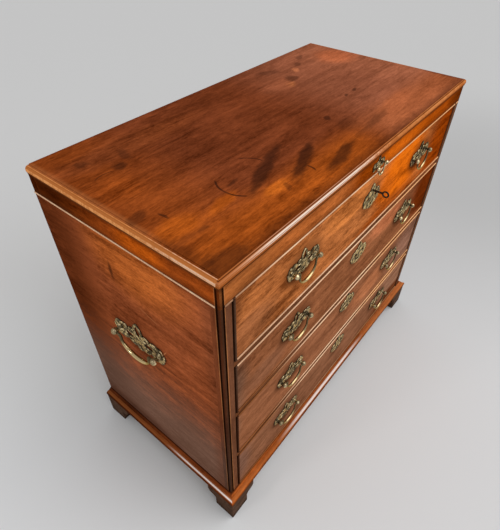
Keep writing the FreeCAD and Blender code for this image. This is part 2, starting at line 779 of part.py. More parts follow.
def dovetails(name, height):
    """The tails at the front end of a drawer's left side, from its foot up, wider at their tips."""
    pitch = height / tail_count
    end = -size("tail_length")
    tip = (pitch - size("tail_gap")) / 2
    root = tip - size("tail_flare")
    edges = []
    for number in range(tail_count):
        middle = (number + 0.5) * pitch
        edges += loop((0, middle - root), (0, middle + root), (end, middle + tip), (end, middle - tip))
    solid = body(name)
    pad(solid, name + "_thickness", sketch(solid, name + "_outline", "YZ_Plane", edges), "lining_thickness")
    return solid


across_drawer = ("-" + drawer_half, "2 * " + drawer_half)
inside_beads = ("-%s + bead_thickness" % drawer_half, "2 * (%s - bead_thickness)" % drawer_half)
inside_linings = ("-%s + lining_thickness" % drawer_half, "2 * (%s - lining_thickness)" % drawer_half)
keyhole_y = ("-front_line - %d" % past, "front_thickness + %d" % (2 * past))
bead_y = ("-front_line - bead_proud", "bead_depth")
bead_nose = -size("front_line") - size("bead_proud")


def bead_edge(edge):
    """Tells the two long edges that stand out in front of a bead."""
    proud = abs(edge.BoundBox.YMax - bead_nose) < same
    return proud and edge.BoundBox.DiagonalLength > 2 * size("bead_depth")


for n in (1, 2, 3, 4):
    name = "drawer_%d_" % n
    opening = "opening_" + words[n]
    foot = "(%s + under_play)" % level[n]
    height = "(%s - under_play - top_play)" % opening
    head_room = "floor_thickness" if n == 1 else "0"
    side_height = "(%s - %s)" % (height, head_room)
    lock_top = "(%s + %s - %s - lock_gap)" % (level[n], opening, head_room)
    key_height = "(%s - key_drop)" % lock_top
    top_bead = "0" if n == 1 else "bead_thickness"

    panel = block(name + "panel", ("-%s + lining_thickness - groove_depth" % drawer_half,
                                   "2 * (%s - lining_thickness + groove_depth)" % drawer_half),
                  (front_back + " - groove_depth", drawer_length + " - front_thickness + groove_depth"),
                  (foot + " + panel_rise", "panel_thickness"))
    beaded_z = (foot + " + bead_thickness", "%s - bead_thickness - %s" % (height, top_bead))
    core = block(name + "core", inside_beads, (front, "front_thickness"), beaded_z)
    flange = block(name + "flange", across_drawer,
                   ("-front_line - bead_proud + bead_depth", "front_thickness + bead_proud - bead_depth"),
                   (foot, height))
    keyhole_start, keyhole_length = keyhole_y
    keyhole_round = rod(name + "keyhole_round", "keyhole_radius", keyhole_length, "y", "0", keyhole_start,
                        key_height)
    keyhole_slot = block(name + "keyhole_slot", ("-slot_width / 2", "slot_width"), keyhole_y,
                         (key_height + " - keyhole_slot", "keyhole_slot"))
    keyhole = fuse(name + "keyhole", keyhole_round, keyhole_slot)
    tail_height = size(opening) - size("under_play") - size("top_play")
    if n == 1:
        tail_height -= size("floor_thickness")
    tails = place(dovetails(name + "tails", tail_height), "-" + drawer_half, front_back, foot)
    tails_right = mirrored(name + "tails_mirror", tails)
    blank = fuse(name + "face_blank", core, flange)
    node(cut(name + "face", blank, panel, keyhole, tails, tails_right), name + "front")

    lining = block(name + "lining", ("-" + drawer_half, "lining_thickness"),
                   (front_back, drawer_length + " - front_thickness"), (foot, side_height))
    lining = cut(name + "side", fuse(name + "tailed", lining, tails), panel)
    rear = block(name + "rear", inside_linings,
                 ("-front_line + %s - lining_thickness" % drawer_length, "lining_thickness"),
                 (foot + " + panel_rise + panel_thickness",
                  side_height + " - panel_rise - panel_thickness - back_drop"))
    node(group(name + "linings", lining, mirrored(name + "side_mirror", lining), rear), name + "box")
    node(panel, name + "bottom")

    strips = [block(name + "bead_low", across_drawer, bead_y, (foot, "bead_thickness"))]
    if n > 1:
        strips.append(block(name + "bead_high", across_drawer, bead_y,
                            ("%s + %s - bead_thickness" % (foot, height), "bead_thickness")))
    strips.append(block(name + "bead_left", ("-" + drawer_half, "bead_thickness"), bead_y, beaded_z))
    bead_radius = bead_round * size("bead_thickness")
    beads = [soften(strip.Name + "_round", strip, bead_radius, bead_edge) for strip in strips]
    beads.append(mirrored(name + "bead_right", beads[-1]))
    node(group(name + "beads", *beads), name + "cock_bead")

    pivot = "(%s + %s / 2 + handle_lift)" % (level[n], opening)
    brass = []
    for side, sign in (("left", "-"), ("right", "")):
        mount = group(name + "mount_" + side, *handle_mount)
        brass.append(place(mount, sign + "handle_offset", front, pivot))
        swing = group(name + "swing_" + side, handle_bail)
        place(swing, sign + "handle_offset", "-front_line - pivot_stand", pivot)
        node(swing, name + "bail_" + side)
    shield = group(name + "escutcheon", escutcheon)
    brass.append(place(shield, "0", front, key_height + " - escutcheon_drop"))
    node(group(name + "fittings", *brass), name + "brass")

    case = block(name + "case", ("-lock_width / 2", "lock_width"), (front_back, "lock_depth"),
                 (lock_top + " - lock_height", "lock_height"))
    wards = rod(name + "wards", "ward_radius", "ward_depth", "y", "0", front_back, key_height)
    bolt_foot = "(%s + ward_radius + bolt_rest)" % key_height
    bolt_height = "key_drop - ward_radius - bolt_rest"
    slot = block(name + "slot", ("-bolt_width / 2 - bolt_play", "bolt_width + 2 * bolt_play"),
                 (bolt_front + " - bolt_play", "bolt_thickness + 2 * bolt_play"),
                 (bolt_foot + " - bolt_play", bolt_height + " + 2 * bolt_play"))
    bolt = block(name + "throw", ("-bolt_width / 2", "bolt_width"), (bolt_front, "bolt_thickness"),
                 (bolt_foot, bolt_height))
    lock = cut(name + "lock_case", case, wards, slot)
    if n == 1:
        node(lock, name + "lock")
        node(bolt, name + "bolt")
        shank_length = "key_reach + front_thickness + ward_depth - bolt_play"
        shank_start = "-front_line - key_reach"
        shank = rod("key_shank_rod", "key_shank", shank_length, "y", "0", shank_start, key_height)
        bow = doc.addObject("Part::Torus", "key_bow_ring")
        bow.Placement = FreeCAD.Placement(V(0, 0, 0), FreeCAD.Rotation(V(0, 1, 0), 90))
        bind(bow, Radius1="key_bow", Radius2="key_wire")
        place(bow, "0", "-front_line - key_reach - key_bow", key_height)
        bit = block("key_bit_plate", ("-bit_thickness / 2", "bit_thickness"),
                    (front_back + " + (ward_depth - bit_width) / 2", "bit_width"),
                    (key_height + " - key_bit", "key_bit"))
        node(fuse("key_whole", shank, bow, bit), "key")
    else:
        node(group(name + "lock_parts", lock, bolt), name + "lock")


doc.recompute()
for thing in doc.Objects:
    if "Invalid" in thing.State or "Error" in thing.State:
        raise RuntimeError("%s failed: %s" % (thing.Name, thing.State))
for thing in nodes:
    if thing.Shape.isNull() or not thing.Shape.isValid():
        raise RuntimeError("%s has no valid shape" % thing.Label)

os.makedirs("parts", exist_ok=True)
for thing in nodes:
    thing.Shape.exportStep("parts/%s.step" % thing.Label)
print(len(nodes), "pieces written")
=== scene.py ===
# %% [markdown]
# # A mahogany bachelor's chest
#
# This lesson dresses a finished CAD model of a small chest of drawers. The solids come in as a
# fixed frame, in metres: the front faces -Y, the floor is z = 0. We add a camera, studio light,
# finishes made of shader nodes, and the small pieces that a cabinet maker adds last. The CAD
# solids themselves stay as they are.

# %% Load the frame
import json
import math

import bpy
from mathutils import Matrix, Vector

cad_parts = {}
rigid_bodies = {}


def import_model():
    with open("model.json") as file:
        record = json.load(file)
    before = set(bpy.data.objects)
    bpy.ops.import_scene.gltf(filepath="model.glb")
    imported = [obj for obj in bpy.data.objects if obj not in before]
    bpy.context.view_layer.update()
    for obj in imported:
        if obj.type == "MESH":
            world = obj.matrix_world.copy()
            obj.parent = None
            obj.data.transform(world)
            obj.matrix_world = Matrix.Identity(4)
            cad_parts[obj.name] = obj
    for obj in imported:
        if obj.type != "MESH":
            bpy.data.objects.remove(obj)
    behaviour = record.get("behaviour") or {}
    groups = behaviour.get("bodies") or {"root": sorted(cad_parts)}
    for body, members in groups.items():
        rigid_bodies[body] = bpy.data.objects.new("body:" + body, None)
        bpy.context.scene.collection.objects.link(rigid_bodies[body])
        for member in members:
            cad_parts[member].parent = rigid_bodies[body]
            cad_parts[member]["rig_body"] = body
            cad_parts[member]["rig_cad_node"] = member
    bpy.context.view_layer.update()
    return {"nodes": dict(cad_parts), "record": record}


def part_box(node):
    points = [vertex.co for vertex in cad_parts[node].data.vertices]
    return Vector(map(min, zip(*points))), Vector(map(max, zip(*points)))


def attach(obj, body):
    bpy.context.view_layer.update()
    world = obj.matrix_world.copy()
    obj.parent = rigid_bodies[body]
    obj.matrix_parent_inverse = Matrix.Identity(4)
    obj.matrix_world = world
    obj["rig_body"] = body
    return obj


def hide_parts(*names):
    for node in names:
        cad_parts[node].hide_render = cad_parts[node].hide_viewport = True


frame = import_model()
nodes = frame["nodes"]
bpy.ops.object.select_all(action="DESELECT")

# %% [markdown]
# ## The camera
#
# The photograph looks down on the front left corner with a fairly wide lens. Its place was found
# by fitting the chest's straight edges, so the numbers go straight into the camera. The frame is
# taller than wide, so the lens is measured against the sensor's 36 mm along the height.

# %% Camera
eye = bpy.data.cameras.new("eye")
eye.lens = 29.55
eye.sensor_width = 36
eye.clip_start = 0.01
camera = bpy.data.objects.new("eye", eye)
camera.location = (-0.7648, -0.5047, 1.2432)
camera.rotation_euler = (math.radians(47.132), math.radians(-0.326), math.radians(-51.099))
bpy.context.scene.collection.objects.link(camera)
bpy.context.scene.camera = camera
bpy.context.scene.view_settings.view_transform = "Standard"
print("camera at", tuple(camera.location), "lens", eye.lens)

# %% [markdown]
# ## Planes to measure from
#
# Marks, stains and fittings are placed by the chest's own faces. The frame knows where every node
# is, so the faces are read from the nodes' boxes instead of being typed again. A handle's place
# is where its bail hangs: the middle of the bail's box, at its upper side.

# %% Faces of the chest
SIDES = ("left", "right")
top_low, top_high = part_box("lid_top")
front_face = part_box("drawer_1_front")[0].y
back_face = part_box("back_boards")[1].y
side_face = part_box("side_panel_right")[1].x
lid_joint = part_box("corner_post_left")[1].z
handle_places = {}
for number in (1, 2, 3, 4):
    for side in SIDES:
        low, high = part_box("drawer_%d_bail_%s" % (number, side))
        handle_places[number, side] = ((low.x + high.x) / 2, high.z)
print("front %.4f back %.4f side %.4f top %.4f" % (front_face, back_face, side_face, top_high.z))

# %% [markdown]
# ## A small language for shader maths
#
# A finish is a tree of nodes. Wiring them one by one is slow to read, so a socket is wrapped in a
# class that knows arithmetic: writing `1 - mask` adds the Math node. Every other kind of node
# comes from one method, `add`, which takes the node's type, its settings and what goes into its
# sockets.


# %% Sockets that can be added and multiplied
class Wire:
    """The output of a shader node, usable in arithmetic."""

    def __init__(self, finish, socket):
        self.finish = finish
        self.socket = socket

    def maths(self, operation, first, second):
        return self.finish.add("ShaderNodeMath", {"operation": operation}, {0: first, 1: second})

    def __add__(self, other):
        return self.maths("ADD", self, other)

    def __radd__(self, other):
        return self.maths("ADD", other, self)

    def __sub__(self, other):
        return self.maths("SUBTRACT", self, other)

    def __rsub__(self, other):
        return self.maths("SUBTRACT", other, self)

    def __mul__(self, other):
        return self.maths("MULTIPLY", self, other)

    def __abs__(self):
        return self.maths("ABSOLUTE", self, 0.0)

    def larger(self, other):
        return self.maths("MAXIMUM", self, other)

    def smaller(self, other):
        return self.maths("MINIMUM", self, other)

    def step(self, low, high, start=0.0, end=1.0):
        """A smooth change from start to end while this value goes from low to high."""
        return self.finish.add("ShaderNodeMapRange", {"interpolation_type": "SMOOTHSTEP"},
                               {"Value": self, "From Min": low, "From Max": high,
                                "To Min": start, "To Max": end})

    def within(self, low, high, soft):
        """1 between low and high, fading over the soft width."""
        return self.step(low - soft, low + soft) * self.step(high - soft, high + soft, 1.0, 0.0)


print("sockets can be added, multiplied and compared")


# %% Materials that are built by adding nodes
class Finish:
    """A material with one principled shader, built by adding nodes."""

    def __init__(self, name, **constants):
        self.material = bpy.data.materials.new(name)
        self.material.use_nodes = True
        self.tree = self.material.node_tree
        self.shader = self.tree.nodes["Principled BSDF"]
        for socket, value in constants.items():
            self.shader.inputs[socket.replace("_", " ")].default_value = value
        self.point = self.add("ShaderNodeTexCoord", output="Object")
        self.x, self.y, self.z = [self.add("ShaderNodeSeparateXYZ", None, {0: self.point}, axis)
                                  for axis in "XYZ"]

    def add(self, kind, settings=None, sockets=None, output=0):
        node = self.tree.nodes.new(kind)
        for key, value in (settings or {}).items():
            if key == "stops":
                self.stops(node.color_ramp, value)
            else:
                setattr(node, key, value)
        for key, value in (sockets or {}).items():
            self.feed(node.inputs[key], value)
        return Wire(self, node.outputs[output])

    def stops(self, ramp, stops):
        while len(ramp.elements) < len(stops):
            ramp.elements.new(1.0)
        for element, (place, colour) in zip(ramp.elements, stops):
            element.position = place
            element.color = (*colour, 1.0)

    def feed(self, socket, value):
        if isinstance(value, Wire):
            self.tree.links.new(value.socket, socket)
        elif socket.type == "RGBA" and len(value) == 3:
            socket.default_value = (*value, 1.0)
        else:
            socket.default_value = value

    def shade(self, **wires):
        """Feeds the shader's own sockets."""
        for name, value in wires.items():
            self.feed(self.shader.inputs[name.replace("_", " ")], value)
        return self.material

    def spread(self, scale, place=(0, 0, 0), turn=0.0, kind="POINT"):
        """The piece's own coordinates, moved, turned about Z and scaled."""
        return self.add("ShaderNodeMapping", {"vector_type": kind},
                        {"Vector": self.point, "Location": place, "Rotation": (0, 0, turn),
                         "Scale": scale})

    def noise(self, vector, scale, detail, rough, warp=0.0):
        return self.add("ShaderNodeTexNoise", None,
                        {"Vector": vector, "Scale": scale, "Detail": detail,
                         "Roughness": rough, "Distortion": warp})

    def mix(self, share, first, second):
        return self.add("ShaderNodeMix", {"data_type": "RGBA"}, {0: share, 6: first, 7: second}, 2)

    def ramp(self, value, *stops):
        return self.add("ShaderNodeValToRGB", {"stops": stops}, {0: value})

    def bump(self, height, strength, distance):
        return self.add("ShaderNodeBump", None,
                        {"Strength": strength, "Distance": distance, "Height": height})

    def blot(self, place, size, turn=0.0):
        """A soft mark: 1 in its middle, 0 at its rim."""
        near = self.spread(size, place, turn, "TEXTURE")
        return self.add("ShaderNodeTexGradient", {"gradient_type": "SPHERICAL"},
                        {"Vector": near}, 1)


print("finishes can be built")

# %% [markdown]
# ## Old mahogany
#
# Mahogany shows long soft streaks, a slower cloudy drift from red to gold, a broken mottle across
# the grain, and fine dark pores along it. Each of these is a noise texture drawn out along one
# axis, and their sum is the wood's figure. A finish is built the way a polisher works: a ground
# colour goes on in washes, wider or smaller, the figure shades it, and stains, dirt and scratches
# come last. Old wax makes the wood deep and hardly shiny, so the shader's own specular level is
# nothing, and a thin coat gives the sheen where polish has built up.


# %% The mahogany recipe
class Mahogany(Finish):
    """Waxed wood: washes make its ground, the figure shades it, stains mark it."""

    def __init__(self, name, axis, ground, shift=(0, 0, 0), contrast=1.0, rough=0.3, gloss=0.0):
        super().__init__(name, Specular_IOR_Level=gloss, Coat_Roughness=0.22)
        self.shift = shift
        self.contrast = contrast
        self.ground = ground
        self.tone = self.figure(axis)
        self.fine = self.drawn(axis, 22.0, 460.0, 3.0, 0.7)
        self.pores = self.drawn(axis, 70.0, 1100.0, 2.0, 0.6).step(0.60, 0.74)
        self.roughness = rough + (self.fine - 0.5) * 0.16 + self.pores * 0.12

    def drawn(self, axis, along, across, detail, rough, warp=0.0):
        """A noise drawn out along the grain: one scale along it, another across it."""
        scale = tuple(along if letter == axis else across for letter in "XYZ")
        return self.noise(self.spread(scale, self.shift), 1.0, detail, rough, warp)

    def figure(self, axis):
        """The wood's drawing: about 0.5, lower where it is dark and higher where it is light."""
        cloud = self.drawn(axis, 3.0, 9.0, 4.0, 0.6, 0.8)
        streak = self.drawn(axis, 4.0, 70.0, 6.0, 0.7, 0.5)
        mottle = self.drawn(axis, 16.0, 44.0, 5.0, 0.7, 1.0)
        fleck = self.drawn(axis, 110.0, 300.0, 3.0, 0.7)
        slow = (cloud - 0.5) * 0.9 + (mottle - 0.5) * 0.8
        return 0.5 + (slow + (streak - 0.5) * 0.8 + (fleck - 0.5) * 0.6) * self.contrast

    def wash(self, mask, colour):
        self.ground = self.mix(mask, self.ground, colour)

    def grain(self, tone=None):
        """Shades the washed ground with the figure and the pores."""
        tone = (tone or self.tone) + (self.fine - 0.5) * 0.35
        shade = self.ramp(tone, (0.15, (0.40, 0.34, 0.28)), (0.5, (0.97, 0.97, 0.97)),
                          (0.85, (1.6, 1.68, 1.75)))
        multiply = {"data_type": "RGBA", "blend_type": "MULTIPLY", "clamp_result": True}
        shaded = self.add("ShaderNodeMix", multiply, {0: 1.0, 6: self.ground, 7: shade}, 2)
        self.colour = self.mix(self.pores * 0.3, shaded, (0.03, 0.012, 0.006))
        self.relief = self.bump(self.fine * 0.5 + tone * 0.4 - self.pores * 0.7, 0.12, 0.0006)

    def stain(self, mask, colour):
        self.colour = self.mix(mask, self.colour, colour)

    def polish(self, coat):
        """Closes the finish, with a coat of old polish of the given weight."""
        return self.shade(Base_Color=self.colour, Roughness=self.roughness, Normal=self.relief,
                          Coat_Weight=coat)


print("recipe ready")

# %% [markdown]
# ## The top board
#
# The top has had the hardest life: dark rubbed patches across the grain, a few bruises and curved
# scratches. It is red gold to the left and in front. To the right a paler, greyer colour is
# painted in: a painted sheen that stands for reflected light.
# Broad changes of colour are washes that grow along X or Y. Soft marks are spherical gradients
# stretched into ellipses and turned. Two noises keep them from looking drawn: one makes their
# rims ragged, and a slow one pushes the coordinates about, so that no mark is a true ellipse.

# %% Colours of the top
wood = Mahogany("top_mahogany", "X", (0.205, 0.046, 0.0145), contrast=1.05, rough=0.34)
wood.wash(wood.x.step(-0.24, -0.42), (0.30, 0.062, 0.011))
# Painted sheen: the right of the top is paled and greyed, standing for reflected light.
wood.wash(wood.x.step(0.0, 0.24), (0.325, 0.098, 0.046))
wood.wash(wood.x.step(0.26, 0.43), (0.40, 0.126, 0.060))
forward = wood.y.step(-0.09, -0.17)
wood.wash(forward * wood.x.step(0.15, -0.05), (0.36, 0.074, 0.009))
wood.wash(forward * wood.x.step(0.0, 0.15), (0.41, 0.112, 0.040))
print("top board washed")

# %% Coordinates that wander
WANDER = 0.016
ragged = wood.noise(wood.spread((40, 90, 40)), 1.0, 4.0, 0.7)
drift = wood.add("ShaderNodeTexNoise", None,
                 {"Vector": wood.point, "Scale": 32.0, "Detail": 3.0}, "Color")
drift = wood.add("ShaderNodeVectorMath", {"operation": "SUBTRACT"},
                 {0: drift, 1: (0.5, 0.5, 0.5)})
straight = wood.point
wood.point = wood.add("ShaderNodeVectorMath", {"operation": "MULTIPLY_ADD"},
                      {0: drift, 1: (WANDER, WANDER, 0.0), 2: straight})
print("marks wander by up to", WANDER / 2, "m")

# %% Bright places on the top
MARK_DEPTH = 0.05


def spot_on_top(wood, place, size, turn):
    """A soft ellipse on the top board, by its middle, half sizes and turn in degrees."""
    return wood.blot((*place, top_high.z), (*size, MARK_DEPTH), math.radians(turn))


# Lighter wood, and painted highlights: the spots at (0.155, 0.104) and (0.245, 0.153) and the patch
# at (0.41, 0.13) stand for reflected light.
bright = [((0.41, 0.13), (0.09, 0.08), 0, (0.58, 0.155, 0.06)),
          ((0.155, 0.104), (0.026, 0.018), 35, (0.72, 0.23, 0.07)),
          ((0.245, 0.153), (0.024, 0.014), 40, (0.60, 0.19, 0.08)),
          ((-0.43, -0.095), (0.07, 0.04), 0, (0.44, 0.090, 0.009)),
          ((-0.42, 0.06), (0.06, 0.06), 0, (0.38, 0.078, 0.012)),
          ((-0.18, -0.20), (0.09, 0.03), 0, (0.50, 0.105, 0.012)),
          ((0.22, -0.145), (0.14, 0.03), 6, (0.46, 0.125, 0.045)),
          ((-0.245, -0.146), (0.05, 0.018), 5, (0.62, 0.140, 0.015)),
          ((-0.34, -0.105), (0.06, 0.02), 8, (0.46, 0.095, 0.010)),
          ((-0.30, 0.168), (0.26, 0.055), 0, (0.275, 0.064, 0.018)),
          ((0.13, 0.12), (0.08, 0.05), 0, (0.37, 0.105, 0.045))]
for place, size, turn, colour in bright:
    spot = spot_on_top(wood, place, size, turn) + (ragged - 0.5) * 0.3
    wood.wash(spot.step(0.05, 0.7, 0.0, 0.9), colour)
wood.grain(0.5 + (wood.tone - 0.5) * wood.x.step(-0.25, 0.15, 1.0, 0.7))
print("top board:", len(bright), "bright places")

# %% Dark marks on the top
marks = [((-0.208, -0.093), (0.130, 0.019), 22, 0.80), ((-0.138, -0.130), (0.108, 0.019), 23, 0.88),
         ((-0.075, -0.174), (0.095, 0.020), 13, 0.85), ((0.095, -0.154), (0.120, 0.014), 5, 0.42),
         ((-0.368, 0.115), (0.020, 0.022), 0, 0.7), ((-0.335, 0.145), (0.016, 0.034), -8, 0.5),
         ((-0.452, -0.030), (0.032, 0.018), 10, 0.6), ((0.045, -0.070), (0.017, 0.011), 30, 0.75),
         ((0.182, -0.037), (0.012, 0.007), 15, 0.7), ((0.224, -0.034), (0.013, 0.008), 15, 0.7),
         ((0.188, 0.122), (0.030, 0.024), 20, 0.6), ((-0.28, -0.080), (0.024, 0.005), 4, 0.6),
         ((-0.151, -0.154), (0.0045, 0.019), -12, 0.9), ((-0.421, -0.058), (0.0035, 0.018), 0, 0.8),
         ((0.05, -0.115), (0.05, 0.03), 25, 0.3), ((-0.45, -0.125), (0.05, 0.012), 0, 0.35),
         ((0.18, 0.195), (0.045, 0.02), -25, 0.4), ((-0.228, -0.157), (0.022, 0.008), 50, 0.45),
         ((-0.410, 0.172), (0.020, 0.018), -30, 0.5), ((-0.406, -0.128), (0.022, 0.008), 0, 0.5),
         ((0.335, 0.200), (0.032, 0.012), 25, 0.5), ((0.285, 0.173), (0.020, 0.012), 30, 0.5),
         ((-0.460, -0.212), (0.110, 0.055), 0, 0.8), ((-0.475, -0.150), (0.040, 0.090), 0, 0.5)]
damage = []
for place, size, turn, depth in marks:
    mark = spot_on_top(wood, place, size, turn) + (ragged - 0.5) * 0.55
    damage.append(mark.step(0.08, 0.62, 0.0, depth))
print("top board:", len(marks), "marks")

# %% [markdown]
# The scratches are thin slices of rings: where the distance from a centre is near the radius, and
# only between two limits in X and above one in Y. They keep the straight coordinates, because a
# scratch is sharp.

# %% Scratches on the top
SCRATCH_END = 0.003
scratches = [((-0.262, -0.088), 0.049, 0.0021, (-0.315, -0.293), -0.2, 0.95),
             ((-0.236, -0.075), 0.048, 0.0017, (-0.213, -0.183), -0.075, 0.85),
             ((-0.405, 0.062), 0.052, 0.0014, (-0.430, -0.385), 0.062, 0.7)]
for place, radius, thick, (low, high), lowest, depth in scratches:
    reach = wood.add("ShaderNodeVectorMath", {"operation": "DISTANCE"},
                     {0: straight, 1: (*place, top_high.z)}, "Value")
    line = abs(reach - radius).step(thick * 0.5, thick * 1.3, depth, 0.0)
    line = line * wood.y.step(lowest, lowest + 0.004)
    damage.append(line * wood.x.within(low + SCRATCH_END, high - SCRATCH_END, SCRATCH_END))
bruise = damage[0]
for mask in damage[1:]:
    bruise = bruise.larger(mask)
rim = (top_high.x - abs(wood.x)).smaller(wood.y - top_low.y)
dirt_and_shade = (rim + (ragged - 0.5) * 0.02).step(0.010, 0.030, 0.5, 0.0) * wood.y.step(-0.06, -0.15)
wood.stain(rim.step(0.020, 0.008, 0.0, 0.5) * wood.y.step(-0.14, -0.04), (0.50, 0.165, 0.050))
wood.stain(bruise.larger(dirt_and_shade) * 0.8, (0.022, 0.008, 0.005))
print("top board:", len(scratches), "scratches, and dirt along the front rim")

# %% [markdown]
# ## The edge of the top
#
# The edge of the top is a small stepped moulding on the front and the sides. Its round is worn
# and bright, with a painted highlight on the wear: gold along the sides and to the right, and
# nearly white in front, where it shows as two pale lines. The edge is painted lighter on the sides
# than in front, as painted light. The corner under the step and the place under the lip are
# painted dark as shade. The masks come from two measures: how far a point is from the rim, and
# how high it is above the board's underside.

# %% Where the edge is worn, and where its highlight is painted
STEP = 0.0056
height = wood.z - top_low.z
edge = rim.step(STEP, STEP + 0.0006, 1.0, 0.0)
in_front = (front_face + 0.004 - wood.y).step(-0.001, 0.001)
from_corner = wood.x.step(-0.47, -0.33, 0.15, 1.0)
whitened_and_lit = (in_front * wood.x.step(0.05, -0.12) * from_corner).larger(
    wood.y.step(-0.05, -0.15) * (1.0 - in_front) * 0.6)
worn_and_lit = (ragged + (wood.tone - 0.5) * 0.6).step(0.36, 0.60, 0.25, 1.0)
worn_and_lit = worn_and_lit * (1.0 - in_front * (1.0 - from_corner))
worn_and_lit = worn_and_lit.larger(whitened_and_lit * in_front * 0.9)
print("top board's edge from z %.4f to %.4f" % (top_low.z, top_high.z))

# %% Gold, white, painted highlight and painted shade on the edge
GOLD, WHITE = (1.0, 0.42, 0.145), (1.0, 0.84, 0.70)
bare_and_lit = wood.mix(whitened_and_lit, GOLD, WHITE)
level = height - in_front * 0.0030
nose = edge * level.within(0.0050, 0.0115, 0.0010)
core = edge * level.within(0.0058, 0.0072, 0.0004).larger(level.within(0.0082, 0.0106, 0.0005))
arris = rim.within(STEP - 0.0010, STEP, 0.0003)
# Painted light: the edge is lighter on the sides than in front.
wood.stain(edge, wood.mix(in_front, (0.58, 0.185, 0.046), (0.44, 0.120, 0.026)))
# Gold and white on the round: wear with a painted highlight.
wood.stain(nose * worn_and_lit * (1.0 - in_front * wood.x.step(0.2, -0.05, 0.75, 1.0)), GOLD)
wood.stain(core * worn_and_lit * (1.0 - in_front * wood.x.step(-0.1, 0.1) * 0.75), bare_and_lit)
wood.stain(arris * worn_and_lit * (1.0 - in_front * 0.6) * 0.6, bare_and_lit)
# Painted shade in the groove under the step and under the lip.
groove_shade = rim.within(0.0030, 0.0042, 0.0003) * height.step(0.0118, 0.0124)
groove_shade = groove_shade * in_front.step(0.0, 1.0, 0.3, 1.0)
shade_under_lip = height.step(0.0038, 0.0046, 0.9, 0.0)
wood.stain(groove_shade.larger(shade_under_lip) * 0.85, (0.045, 0.013, 0.005))
top_finish = wood.polish(core * whitened_and_lit * 0.6)
print("made", top_finish.name)

# %% [markdown]
# ## The drawer fronts
#
# The four fronts are boards of one log, so they share a recipe and differ by a shift of the
# pattern. The top one is the most golden and turns to a deep orange on the right: there its bright
# middle is a painted pool of light. The lower ones are browner, and the right ends of the lower two
# are greyed by a painted sheen for reflected light; the right ends of the upper two are painted
# dark as shade. Hands and polish have left a darker halo round each handle, made darker by painted
# shade, with a painted black shadow of the plate below it, and the right end of every front is
# painted dark as shade. The key's shadow is painted beside the top keyhole. A wash on a front is
# an ellipse in X and Z. In Y it is made so large that it goes right through the board.

# %% Colours of the drawer fronts
front_ground = {1: (0.50, 0.155, 0.042), 2: (0.31, 0.108, 0.043),
                3: (0.32, 0.118, 0.052), 4: (0.27, 0.108, 0.052)}
front_contrast = {1: 1.45, 2: 1.05, 3: 0.9, 4: 0.9}
# Some washes are painted light: on front 1, (0.16, 0.72) is a painted pool of light, (0.08, 0.70)
# the key's painted shadow and (0.44, 0.69) painted shade; on front 2, (0.43, 0.55) is painted
# shade; the greyish right ends of fronts 3 and 4 are a painted sheen.
front_washes = {
    1: [((0.16, 0.72), (0.17, 0.14), (0.68, 0.130, 0.005)),
        ((0.44, 0.69), (0.20, 0.22), (0.32, 0.050, 0.002)),
        ((-0.465, 0.76), (0.05, 0.09), (0.30, 0.098, 0.032)),
        ((-0.10, 0.755), (0.12, 0.06), (0.62, 0.19, 0.045)),
        ((0.14, 0.635), (0.24, 0.035), (0.38, 0.075, 0.008)),
        ((-0.41, 0.670), (0.11, 0.065), (0.34, 0.112, 0.038)),
        ((0.08, 0.70), (0.06, 0.04), (0.52, 0.100, 0.006))],
    2: [((0.15, 0.580), (0.13, 0.045), (0.52, 0.165, 0.066)),
        ((0.43, 0.55), (0.17, 0.15), (0.17, 0.028, 0.003)),
        ((-0.47, 0.53), (0.08, 0.16), (0.20, 0.090, 0.050)),
        ((-0.36, 0.50), (0.10, 0.05), (0.25, 0.095, 0.044))],
    3: [((0.43, 0.35), (0.22, 0.14), (0.31, 0.145, 0.09)),
        ((0.14, 0.350), (0.13, 0.06), (0.47, 0.165, 0.068)),
        ((-0.47, 0.40), (0.05, 0.10), (0.25, 0.105, 0.055))],
    4: [((0.42, 0.20), (0.24, 0.10), (0.37, 0.175, 0.10)),
        ((-0.46, 0.20), (0.08, 0.12), (0.21, 0.096, 0.058)),
        ((0.38, 0.120), (0.20, 0.045), (0.16, 0.047, 0.016))]}
print("washes on the fronts", {number: len(washes) for number, washes in front_washes.items()})

# %% Drawer fronts
ANY = 10.0
HALO_BROWN = (0.07, 0.022, 0.009)
HANDLE_SHADOW, END_SHADE = (0.022, 0.008, 0.004), (0.03, 0.011, 0.006)
front_finish = {}
for number, ground in front_ground.items():
    wood = Mahogany("drawer_%d_mahogany" % number, "X", ground,
                    (0.37 * number, 0.11 * number, 0.73 * number), front_contrast[number])
    for (x, z), (long, wide), colour in front_washes[number]:
        wood.wash(wood.blot((x, front_face, z), (long, ANY, wide)).step(0.0, 0.6), colour)
    wood.grain()
    for side in SIDES:
        x, z = handle_places[number, side]
        # A darker halo: a stain of old polish, made darker by painted shade round the plate.
        halo_stain_and_shade = wood.blot((x, front_face, z - 0.004), (0.085, ANY, 0.058))
        wood.stain((halo_stain_and_shade + (wood.tone - 0.5) * 0.4).step(0.10, 0.60, 0.0, 0.6), HALO_BROWN)
        # The plate's painted shadow, black, below and to the left of it.
        dirt_and_shade = wood.blot((x - 0.010, front_face, z - 0.010), (0.060, ANY, 0.034))
        wood.stain((dirt_and_shade + (wood.tone - 0.5) * 0.3).step(0.12, 0.6, 0.0, 0.8), HANDLE_SHADOW)
    keyhole = handle_places[number, "left"][1] + 0.004
    # A darker halo round the keyhole: a stain with painted shade.
    halo_stain_and_shade = wood.blot((0.0, front_face, keyhole), (0.06, ANY, 0.05))
    wood.stain(halo_stain_and_shade.step(0.1, 0.7, 0.0, 0.45), HALO_BROWN)
    # The right end is painted dark as shade.
    wood.stain(wood.x.step(0.425, 0.447, 0.0, 0.75), END_SHADE)
    front_finish[number] = wood.polish(0.0)
print("drawer fronts", len(front_finish))

